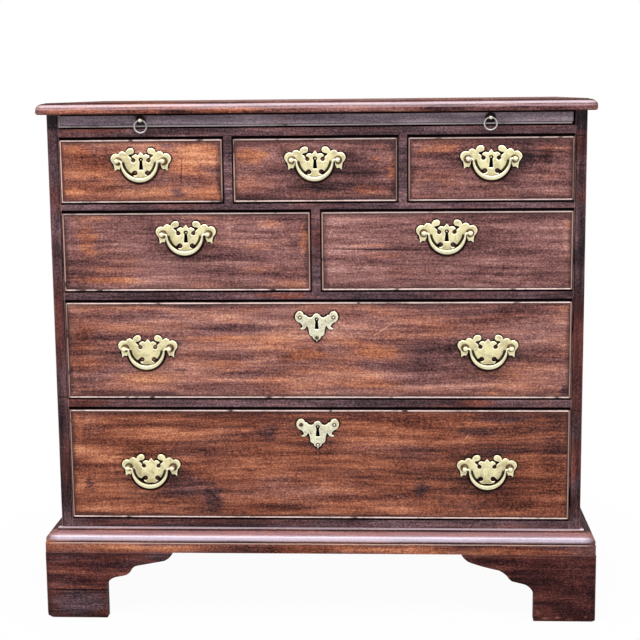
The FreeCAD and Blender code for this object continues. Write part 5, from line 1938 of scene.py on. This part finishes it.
@dataclass(frozen=True)
class Brasses:
    """Plates, posts, nuts, lock and, on a long drawer, the escutcheon."""

    plate: float = 1.8 * MM
    standoff: float = 17.0 * MM
    post_x: float = 38.0 * MM
    front: float = 20.0 * MM
    keyhole_radius: float = 3.6 * MM
    keyhole_neck: float = 2.2 * MM
    keyhole_foot: float = 3.4 * MM
    keyhole_length: float = 16.5 * MM
    plate_keyhole_rise: float = 1.7 * MM

    def keyhole(self, drop: float) -> np.ndarray:
        """Keyhole's outline round its head's middle, moved up by a distance.

        Most of a circle, closed by the slot's two straight flared sides.
        """
        start = math.asin(self.keyhole_neck / self.keyhole_radius)
        angle = np.linspace(-math.pi / 2 + start, 1.5 * math.pi - start, 20)
        head = self.keyhole_radius * np.stack([np.cos(angle), np.sin(angle)], axis=1)
        foot = np.array([[-self.keyhole_foot, -self.keyhole_length],
                         [self.keyhole_foot, -self.keyhole_length]])
        return np.concatenate([head, foot]) + (0.0, drop)

    def post(self, shell: Shell, x: float, z: float) -> None:
        """Adds a post: a moulded collar, a neck and a ball, turned as one, and its nut.

        Args:
            shell: what they are added to.
            x, z: place of the post's axis.
        """
        ball, neck, collar = 4.6 * MM, 2.5 * MM, 4.6 * MM
        axis = -self.standoff
        profile = np.concatenate([dome(axis, ball, ball, (4, 148), 16), np.array([
            [axis + 5.4 * MM, neck], [-7.6 * MM, neck], [-6.6 * MM, 3.3 * MM],
            [-6.0 * MM, 3.4 * MM], [-5.4 * MM, 2.9 * MM], [-4.4 * MM, 3.2 * MM],
            [-3.6 * MM, 4.3 * MM], [-3.0 * MM, collar], [-self.plate, collar],
            [-self.plate, neck * 0.98], [self.front + 4.0 * MM, neck * 0.98],
            [self.front + 4.3 * MM, neck * 0.8]])])
        # The ball's front has a painted highlight; its neck, collar and hidden shank patina and
        # painted shade.
        hidden = np.where(profile[:, 0] < axis - 2 * MM, -0.38,
                          np.where(profile[:, 0] < axis + 1 * MM, 0.0, 1.15))
        shell.turn(profile, (x, FRONT, z), hidden)
        nut = np.array([[0.0, neck], [0.0, 4.8 * MM], [0.3 * MM, 5.0 * MM],
                        [2.7 * MM, 5.0 * MM], [3.0 * MM, 4.7 * MM], [3.0 * MM, neck]])
        shell.turn(nut + (self.front, 0.0), (x, FRONT, z), hollow=True)

    def pin(self, shell: Shell, x: float, z: float, black: bool) -> None:
        """Adds an escutcheon pin, its domed head pale with a painted highlight, or black if so
        set.
        """
        profile = np.concatenate([dome(-self.plate, 0.8 * MM, 1.7 * MM, (6, 90), 6), np.array([
            [-self.plate, 0.8 * MM], [5.0 * MM, 0.8 * MM], [6.5 * MM, 0.2 * MM]])])
        lit = np.where(np.arange(len(profile)) < 4, 1.4 if black else -0.9, 1.15)
        shell.turn(profile, (x, FRONT, z), lit, sides=16)

    def drill_pin(self, shell: Shell, x: float, z: float) -> None:
        """Adds the round end of the lock's pin in the keyhole's head, pale with a painted
        highlight.
        """
        radius = 1.2 * MM
        profile = np.concatenate([dome(0.0, radius, radius, (6, 90), 6), np.array([
            [3.0 * MM, radius], [3.2 * MM, 0.9 * MM]])])
        shell.turn(profile, (x, FRONT, z), -0.3, sides=16)

    def lock(self, shell: Shell, node: str, x: float, z: float) -> None:
        """Adds the lock and its drill pin as they are in the frame.

        Args:
            shell: what they are added to.
            node: that holds them.
            x, z: middle of the keyhole's head.
        """
        data = frame["nodes"][node].data
        points = vertices(data)
        corners = np.zeros(len(data.loops), int)
        data.loops.foreach_get("vertex_index", corners)
        triangles = corners.reshape(-1, 3)
        pin_radius, half_case, case_depth = 1.5 * MM, 29.5 * MM, 8 * MM
        depth = points[triangles, 1] - FRONT
        away = np.abs(points[triangles, 0] - x).max(axis=1)
        reach = np.hypot(points[:, 0] - x, points[:, 2] - z)
        case = (depth.min(axis=1) > case_depth) & (away < half_case)
        pin = (depth.max(axis=1) > 1 * MM) & (reach[triangles].max(axis=1) < pin_radius)
        used, order = np.unique(triangles[case | pin], return_inverse=True)
        # The case painted black, as shade inside the keyhole; the pin's end pale, a painted
        # highlight.
        shell.soup(points[used], order.reshape(-1, 3).tolist(),
                   np.where(reach[used] < pin_radius, -1.0, 2.0))

    def build(self, drawer: "Drawer") -> None:
        """Makes all the brass that is fixed to a drawer.

        Args:
            drawer: that it belongs to.
        """
        shell = Shell()
        node = drawer.name + "_brasses"
        own_escutcheon = len(drawer.handles) == 2
        rings, arcs, grey = [], [], ()
        for x, z in drawer.handles:
            outlines = [both_halves(PLATE_START, PLATE_HALF)]
            if not own_escutcheon:
                outlines.append(self.keyhole(self.plate_keyhole_rise))
            Casting().add(shell, outlines, x, z)
            for hand in (-1, 1):
                self.post(shell, x + hand * self.post_x, z)
                rings.append((x + hand * self.post_x, z - 1 * MM, 5.6 * MM))
            # The bail's painted shadow on the plate, moved as the bail is seen.
            aside, below = Bail.seen(x, z)
            arcs.append((x + aside, z + 1 * MM - below, 26.4 * MM))
        key_x, key_z = drawer.keyhole
        if own_escutcheon:
            outline = both_halves(ESCUTCHEON_START, ESCUTCHEON_HALF)
            Casting().add(shell, [outline, self.keyhole(0.0)], key_x, key_z)
            for number, (x, z) in enumerate(ESCUTCHEON_PINS):
                pin_x, pin_z = key_x + x * MM, key_z + z * MM
                self.pin(shell, pin_x, pin_z, number == drawer.black_pin)
                rings.append((pin_x, pin_z, 2.3 * MM))
            grey = ((key_x, key_z - 10 * MM, 34 * MM),)
        self.lock(shell, node, key_x, key_z)
        self.drill_pin(shell, key_x, key_z)
        finish = Metal(drawer.name + "_plate_brass", posts=tuple(rings), arcs=tuple(arcs),
                       dulled=grey)
        put(drawer.name + "_brass_fittings", shell.mesh(node, 30.0), drawer.name,
            finish, node)


@dataclass(frozen=True)
class Bail:
    """Swan-necked handle: a crescent thickest at the bottom, bent outwards into its posts."""

    node: str
    x: float
    z: float
    outer: float = 30.9 * MM
    inner: float = 28.5 * MM
    outer_drop: float = 3.7 * MM
    inner_rise: float = 1.2 * MM
    depth: float = 5.6 * MM
    pin_end: float = 36.7 * MM
    pin_radius: float = 1.9 * MM
    bend: float = 2.6 * MM
    standoff: float = 17.0 * MM
    eye_x: ClassVar[float] = 0.13
    eye_z: ClassVar[float] = 0.89
    lean: ClassVar[float] = 0.007

    # Where the bail seems to rest sets where its painted shadows go.
    @classmethod
    def seen(cls, x: float, z: float) -> tuple[float, float]:
        """How far aside and below its posts a bail seems to rest, standing off its plate."""
        return (x - cls.eye_x) * cls.lean, (cls.eye_z - z) * cls.lean

    def sections(self) -> tuple[np.ndarray, np.ndarray, np.ndarray, np.ndarray]:
        """Line of the bail and its size at each place.

        The crescent lies between two circles, one set a little below and one a little above the
        axis. At its upper ends the line bends outwards on a small round into the pins.

        Returns:
            Middle points (n, 2), unit normals (n, 2), half widths and half depths (n).
        """
        share = np.linspace(0, 1, 61)
        outer_radius = math.hypot(self.outer, self.outer_drop)
        inner_radius = math.hypot(self.inner, self.inner_rise)
        first = math.asin(self.outer_drop / outer_radius)
        second = -math.asin(self.inner_rise / inner_radius)
        a = first - (math.pi + 2 * first) * share
        b = second - (math.pi + 2 * second) * share
        outer = np.stack([outer_radius * np.cos(a), outer_radius * np.sin(a) - self.outer_drop],
                         axis=1)
        inner = np.stack([inner_radius * np.cos(b), inner_radius * np.sin(b) + self.inner_rise],
                         axis=1)
        middle = (outer + inner) / 2
        half = np.linalg.norm(outer - inner, axis=1) / 2
        normal = (outer - inner) / (2 * half[:, None])
        bend = self.bend
        turn = np.radians(np.linspace(0, 90, 7))[1:]
        start = middle[0]
        elbow = start + bend * np.stack([1 - np.cos(turn), np.sin(turn) - 1], axis=1)
        elbow_normal = np.stack([np.cos(turn), -np.sin(turn)], axis=1)
        pins = np.array([[self.pin_end - 1 * MM, 0.0], [self.pin_end, 0.0]])
        head = np.concatenate([elbow, pins])[::-1]
        head_normal = np.concatenate([elbow_normal, np.tile([[0.0, -1.0]], (2, 1))])[::-1]
        keep = middle[:, 1] < -bend
        middle, normal, half = middle[keep], normal[keep], half[keep]
        deep = np.full(len(half), self.depth / 2)
        thin = self.pin_radius * 0.97
        head_half, head_deep = (
            np.concatenate([np.full(len(pins), thin), np.linspace(thin, size, len(elbow))])
            for size in (half[0], deep[0]))
        mirror = np.array([-1.0, 1.0])
        return (np.concatenate([head, middle, head[::-1] * mirror]),
                np.concatenate([head_normal, normal, head_normal[::-1] * mirror]),
                np.concatenate([head_half, half, head_half[::-1]]),
                np.concatenate([head_deep, deep, head_deep[::-1]]))

    def build(self, body: str) -> None:
        """Carries a softened oval section along the bail's line.

        Args:
            body: that the bail moves with.
        """
        middle, normal, half, deep = self.sections()
        angle = np.linspace(0, 2 * math.pi, 20, endpoint=False)
        power = 0.72
        out = np.sign(np.cos(angle)) * np.abs(np.cos(angle)) ** power
        back = np.sign(np.sin(angle)) * np.abs(np.sin(angle)) ** power
        flat = middle[:, None] + normal[:, None] * (half[:, None] * out)[..., None]
        y = FRONT - self.standoff + deep[:, None] * back
        points = np.stack([self.x + flat[..., 0], y, self.z + flat[..., 1]], axis=-1)
        shell = Shell()
        # Dark with patina and painted shade along its sides, pale with a painted highlight along
        # its front.
        side = np.where(np.abs(out) > 0.8, 1.15, np.where(back < -0.85, -0.4, 0.0))
        shell.grid(points, round_columns=True, caps=True, mark=side[None])
        finish = Metal("bail_brass", (228, 219, 174), dull=0.32, patina_share=0.35)
        put(self.node + "_cast", shell.mesh(self.node, 50.0), body, finish, self.node)


# ------------------------------------------------------------------ brushing slide
@dataclass(frozen=True)
class Slide:
    """Brushing slide with its two ring pulls."""

    rose_radius: float = 5.6 * MM
    eye_radius: float = 3.9 * MM
    standoff: float = 6.0 * MM
    ring_radius: float = 10.2 * MM
    wire_radius: float = 1.25 * MM

    def pull(self, shell: Shell, x: float, z: float) -> None:
        """Adds a moulded rose, neck and ball, turned as one.

        Args:
            shell: what they are added to.
            x, z: place of the pull's axis.
        """
        rose, shank = self.rose_radius, 1.8 * MM
        head = dome(-self.standoff, self.eye_radius, self.eye_radius, (4, 150), 14)
        profile = np.concatenate([head, np.array([
            [-2.6 * MM, 1.9 * MM], [-1.9 * MM, 2.4 * MM], [-1.4 * MM, 4.6 * MM],
            [-0.7 * MM, rose], [0.0, rose], [0.0, shank], [15.8 * MM, shank]])])
        # The ball's front with a painted highlight; the rose, neck and shank painted black as
        # shade.
        hidden = np.where(profile[:, 0] < -self.standoff + 1 * MM, -0.4, 1.5)
        shell.turn(profile, (x, FRONT, z), hidden)

    def ring(self, node: str) -> None:
        """Makes one ring: a round wire carried round a circle in the XZ plane.

        Args:
            node: that it takes the place of.
        """
        centre = sum(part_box(node), Vector()) / 2
        around = np.linspace(0, 2 * math.pi, 56, endpoint=False)[:, None]
        wire = np.linspace(0, 2 * math.pi, 14, endpoint=False)[None]
        reach = self.ring_radius + self.wire_radius * np.cos(wire)
        points = np.stack([centre.x + reach * np.cos(around),
                           centre.y + self.wire_radius * np.sin(wire) + 0 * around,
                           centre.z + reach * np.sin(around)], axis=-1)
        shell = Shell()
        shell.grid(points, round_rows=True, round_columns=True)
        finish = Metal("ring_metal", (190, 188, 186), (84, 80, 78), (226, 224, 224), 0.3)
        put(node + "_wire", shell.mesh(node, 60.0), node, finish, node)

    def build(self) -> None:
        """Finishes the board and makes the pulls."""
        shell = Shell()
        shades = []
        for node in ("left_pull_ring", "right_pull_ring"):
            low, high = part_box(node)
            place = ((low.x + high.x) / 2, high.z - self.wire_radius)
            # Painted shade and dirt round the rose.
            shades.append(Shade(*place, ((0, -1, 6.5),)))
            self.pull(shell, *place)
            self.ring(node)
        dress("slide_board", Wood("slide_mahogany", Grain.ACROSS, SLATE, COOL, 51.0, 0.16, 0.1,
                                  0.7, proud=FRONT, behind=(-0.22, 0.8), edge=(190, 178, 176),
                                  edge_share=0.62, gaps=openings(), face=FRONT, marks=SLIDE,
                                  shades=tuple(shades)))
        finish = Metal("pull_metal", (226, 222, 200), (50, 42, 36), dull=0.26)
        put("slide_pulls", shell.mesh("slide_pulls", 40.0), "brushing_slide", finish,
            "slide_pull_eyes")


# ------------------------------------------------------------------ drawers
@dataclass(frozen=True)
class Drawer:
    """One drawer: its name, handles, keyhole and the look of its front and bead.

    The worn shares are those of its bead's top, bottom, left and right length.
    """

    name: str
    handles: tuple[tuple[float, float], ...]
    keyhole: tuple[float, float]
    seed: float
    lift: float
    warmth: float
    marks: tuple[Mark, ...]
    worn: tuple[float, float, float, float]
    scribes: tuple[Scribe, ...] = ()
    black_pin: int = -1
    bead_width: float = 3.0 * MM
    bead_proud: float = 1.6 * MM
    bead_depth: float = 8.0 * MM

    def bead(self) -> None:
        """Makes the cock bead: a round-nosed strip carried round the front, mitred and worn."""
        node = self.name + "_cock_beads"
        low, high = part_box(node)
        plan = Rectangle(low.x, high.x, low.z, high.z)
        radius = self.bead_width / 2
        turn = np.radians(np.linspace(0, 180, 11))
        nose = np.stack([radius - radius * np.cos(turn), radius - self.bead_proud
                         - radius * np.sin(turn)], axis=1)
        back = np.array([[self.bead_width, self.bead_depth], [0.0, self.bead_depth]])
        rows = []
        seed = int(self.seed * 10)
        for number, (inset, depth) in enumerate(np.concatenate([nose, back])):
            run = plan.loop((inset,) * 4, 0.0, 4 * MM, 1)
            if number == 0:
                along, length = lengths(run)
                dull = np.abs(waver(along, length, 0.045, 0.16 * MM, seed))
                dull += chips(along, length, round(length / 0.09), 4 * MM, 0.9 * MM, seed + 1)
            lift = dull * max(0.0, math.sin(math.pi * min(number, 10) / 10))
            rows.append(np.stack([run[:, 0], FRONT + depth + lift, run[:, 1]], axis=1))
        shell = Shell()
        shell.grid(np.array(rows), round_rows=True, round_columns=True)
        name = self.name + "_bead"
        finish = Bead(name, FRONT - self.bead_proud, edges(node), self.seed, self.worn)
        put(name, shell.mesh(name, 50.0), self.name, finish, node)

    def build(self) -> None:
        """Finishes the front and box and makes the bead, brasses and bails."""
        node = self.name + "_front"
        inset = np.array((self.bead_width, 0.0, self.bead_width))
        low, high = (np.array(corner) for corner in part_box(node))
        grime_and_shade, shades = [], []
        # Dark marks and shades round the brasses: dirt, painted shade and painted bail shadows.
        for x, z in self.handles:
            grime_and_shade.append(Mark(x, z - 8 * MM, 62 * MM, 36 * MM, -0.15, -0.15))
            aside, below = Bail.seen(x, z)
            shades.append(Shade(x, z, PLATE_CIRCLES, 33.0 * MM, x + aside,
                                z - 4 * MM - below, PLATE_HOLES))
        if len(self.handles) == 2:
            x, z = self.keyhole
            grime_and_shade.append(Mark(x, z - 12 * MM, 40 * MM, 30 * MM, -0.15, -0.1))
            shades.append(Shade(x, z, ESCUTCHEON_CIRCLES))
        dress(node, Wood(node, Grain.ACROSS, COOL, WARM, self.seed, self.lift, self.warmth,
                         box=(*(low + inset), *(high - inset)), rim_share=0.6,
                         rim_width=9 * MM, crease_shade_share=0.8, face=FRONT,
                         marks=self.marks + tuple(grime_and_shade), scribes=self.scribes,
                         shades=tuple(shades)))
        dress(self.name + "_box", Wood("box_oak", Grain.BACK, OAK, OAK, 61.0, rough=0.7,
                                       soot=(84, 62, 44), **DRY))
        dress(self.name + "_lock_bolt", Metal("bolt_steel", (128, 124, 118), (84, 62, 48),
                                              (150, 146, 140), 0.45, 0.7))
        self.bead()
        Brasses().build(self)
        ends = ("_bail",) if len(self.handles) == 1 else ("_left_bail", "_right_bail")
        for end, (x, z) in zip(ends, self.handles):
            Bail(self.name + end, x, z).build(self.name + end)


# Each drawer's seed, lift, warmth, marks, worn shares, scribed arcs and black pin.
LOOKS = {
    "upper_left_drawer": (1.3, 0.07, 0.55, UPPER_LEFT, (0.76, 0.78, 0.74, 0.34)),
    "upper_middle_drawer": (2.7, -0.01, 0.25, UPPER_MIDDLE, (0.6, 0.88, 0.44, 0.18)),
    "upper_right_drawer": (4.4, -0.03, 0.25, UPPER_RIGHT, (0.54, 0.76, 0.3, 0.14)),
    "half_left_drawer": (5.9, 0.04, 0.25, HALF_LEFT, (0.6, 0.95, 0.44, 0.42)),
    "half_right_drawer": (7.1, 0.05, 0.08, HALF_RIGHT, (0.64, 0.95, 0.4, 0.36)),
    "long_drawer": (9.6, 0.06, 0.38, LONG, (1.0, 0.9, 0.32, 0.36), (
        Scribe(-0.284, 0.438, 0.064, -0.282, 0.496, 0.075),
        Scribe(0.288, 0.439, 0.06, 0.3, 0.498, 0.04, 0.2)), 2),
    "deep_drawer": (12.8, -0.05, 0.75, DEEP, (1.0, 1.0, 0.36, 0.33), (
        Scribe(-0.281, 0.256, 0.052, -0.255, 0.296, 0.055),
        Scribe(0.29, 0.241, 0.062, 0.302, 0.3, 0.045)), 1),
}


def chest_drawers() -> list[Drawer]:
    """Puts the drawers together, their handles' middles read from the frame's joints.

    Returns:
        The seven drawers.
    """
    pivots = {joint["child"]: joint["pos_m"] for joint in frame["joints"]
              if joint["child"].endswith("_bail")}
    drawers = []
    for name, look in LOOKS.items():
        found = sorted((place[0], place[2]) for bail, place in pivots.items()
                       if bail.startswith(name))
        key = (found[0][0], found[0][1] + Brasses.plate_keyhole_rise)
        if len(found) == 2:
            key = (0.0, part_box(name + "_front")[1].z - 29.1 * MM)
        drawers.append(Drawer(name, tuple(found), key, *look))
    return drawers


# ------------------------------------------------------------------ studio
def stand(name: str, data: bpy.types.ID) -> bpy.types.Object:
    """Object round some data, put in the scene."""
    thing = bpy.data.objects.new(name, data)
    bpy.context.scene.collection.objects.link(thing)
    return thing


@dataclass(frozen=True)
class Studio:
    """Pale floor, soft lamps, white surround and the camera."""

    place: tuple[float, float, float] = (0.12824, -2.6076, 0.89164)
    yaw: float = -0.05147
    pitch: float = 0.15719
    roll: float = -0.0100
    focal: float = 1445.77
    picture: float = 640.0
    daylight: tuple[float, float, float] = (0.97, 0.95, 1.0)
    world_light: float = 0.4

    def camera(self) -> None:
        """Camera from its place, yaw, pitch and roll; the focal length is in pixels."""
        data = bpy.data.cameras.new("camera")
        data.sensor_width = 36.0
        data.lens = self.focal / self.picture * data.sensor_width
        data.clip_end = 100.0
        ahead = Vector((math.sin(self.yaw) * math.cos(self.pitch),
                        math.cos(self.yaw) * math.cos(self.pitch), -math.sin(self.pitch)))
        right = Vector((math.cos(self.yaw), -math.sin(self.yaw), 0.0))
        up = right.cross(ahead)
        turned_right = math.cos(self.roll) * right + math.sin(self.roll) * up
        turned_up = math.cos(self.roll) * up - math.sin(self.roll) * right
        turn = Matrix((turned_right, turned_up, -ahead)).transposed()
        camera = stand("camera", data)
        camera.matrix_world = Matrix.Translation(self.place) @ turn.to_4x4()
        bpy.context.scene.camera = camera

    def lamp(self, name: str, place: tuple, aim: tuple, size: tuple, power: float) -> None:
        """Soft rectangular lamp that looks at a point.

        Args:
            name: of the lamp.
            place: of its middle.
            aim: the point.
            size: its two sides.
            power: in watts.
        """
        data = bpy.data.lights.new(name, "AREA")
        data.shape = "RECTANGLE"
        data.size, data.size_y = size
        data.energy = power
        data.color = self.daylight
        lamp = stand(name, data)
        lamp.visible_camera = False
        lamp.location = place
        lamp.rotation_euler = (Vector(aim) - Vector(place)).to_track_quat("-Z", "Y").to_euler()

    def surround(self) -> None:
        """World that is white to the camera and in reflections and gives a soft even light."""
        world = bpy.data.worlds.new("surround")
        bpy.context.scene.world = world
        tree = Tree(world)
        seen, mirrored, through = tree.rays()
        soft, white = (tree.add("ShaderNodeBackground", sockets={
            "Color": (1.0, 1.0, 1.0, 1.0), "Strength": strength}).outputs[0]
            for strength in (self.world_light, 1.0))
        mix = tree.add("ShaderNodeMixShader", sockets={
            0: seen.most(mirrored.most(through)), 1: soft, 2: white})
        tree.add("ShaderNodeOutputWorld", sockets={0: mix.outputs[0]})

    def floor(self) -> None:
        """Wide pale floor that shows white, most of all far from the chest, and keeps its
        shadow."""
        shell = Shell()
        spread = np.linspace(-14.0, 14.0, 9)
        x, y = np.meshgrid(spread, spread, indexing="ij")
        shell.grid(np.stack([x, y, np.zeros_like(x)], axis=-1))
        mesh = shell.mesh("floor")
        floor = stand("floor", mesh)
        recipe = Recipe("pale_floor")
        recipe.set(Base_Color=(0.7, 0.7, 0.7, 1.0), Roughness=0.9, Specular_IOR_Level=0.0)
        seen, mirrored, through = recipe.rays()
        far = recipe.reach(recipe.place).ease(0.45, 0.95, 0.96, 1.0)
        glow = recipe.add("ShaderNodeEmission", sockets={"Color": (1, 1, 1, 1)})
        both = recipe.add("ShaderNodeMixShader", sockets={
            0: (seen * far).most(mirrored).most(through), 1: recipe.shader.outputs[0],
            2: glow.outputs[0]})
        recipe.feed(recipe.output.inputs["Surface"], both.outputs[0])
        mesh.materials.append(recipe.material)
        floor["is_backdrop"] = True

    def build(self) -> None:
        """Sets up everything round the chest."""
        bpy.context.scene.view_settings.view_transform = "Standard"
        self.camera()
        self.surround()
        self.floor()
        middle = (0.0, 0.0, 0.4)
        self.lamp("sky lamp", (0.0, -1.8, 2.6), (0.0, -0.2, 0.4), (3.4, 1.4), 88.0)
        self.lamp("left lamp", (-3.2, -0.9, 1.9), middle, (1.8, 1.8), 30.0)
        self.lamp("right lamp", (3.2, -0.9, 1.9), middle, (1.8, 1.8), 30.0)
        self.lamp("back lamp", (0.3, 3.2, 2.2), middle, (2.6, 1.8), 55.0)


def main() -> None:
    """Builds the chest part by part, then the studio round it."""
    logging.basicConfig(level=logging.INFO, format="%(name)s: %(message)s")
    Carcase().build()
    TopBoard().build()
    BaseMoulding().build()
    for end, front in (("front", True), ("back", False)):
        for side, hand, worn in (("left", -1, 11.0 * MM), ("right", 1, 6.0 * MM)):
            Foot(f"{side}_{end}_foot", hand, front, worn).build()
    Slide().build()
    for drawer in chest_drawers():
        drawer.build()
    Studio().build()


if __name__ == "__main__":
    main()
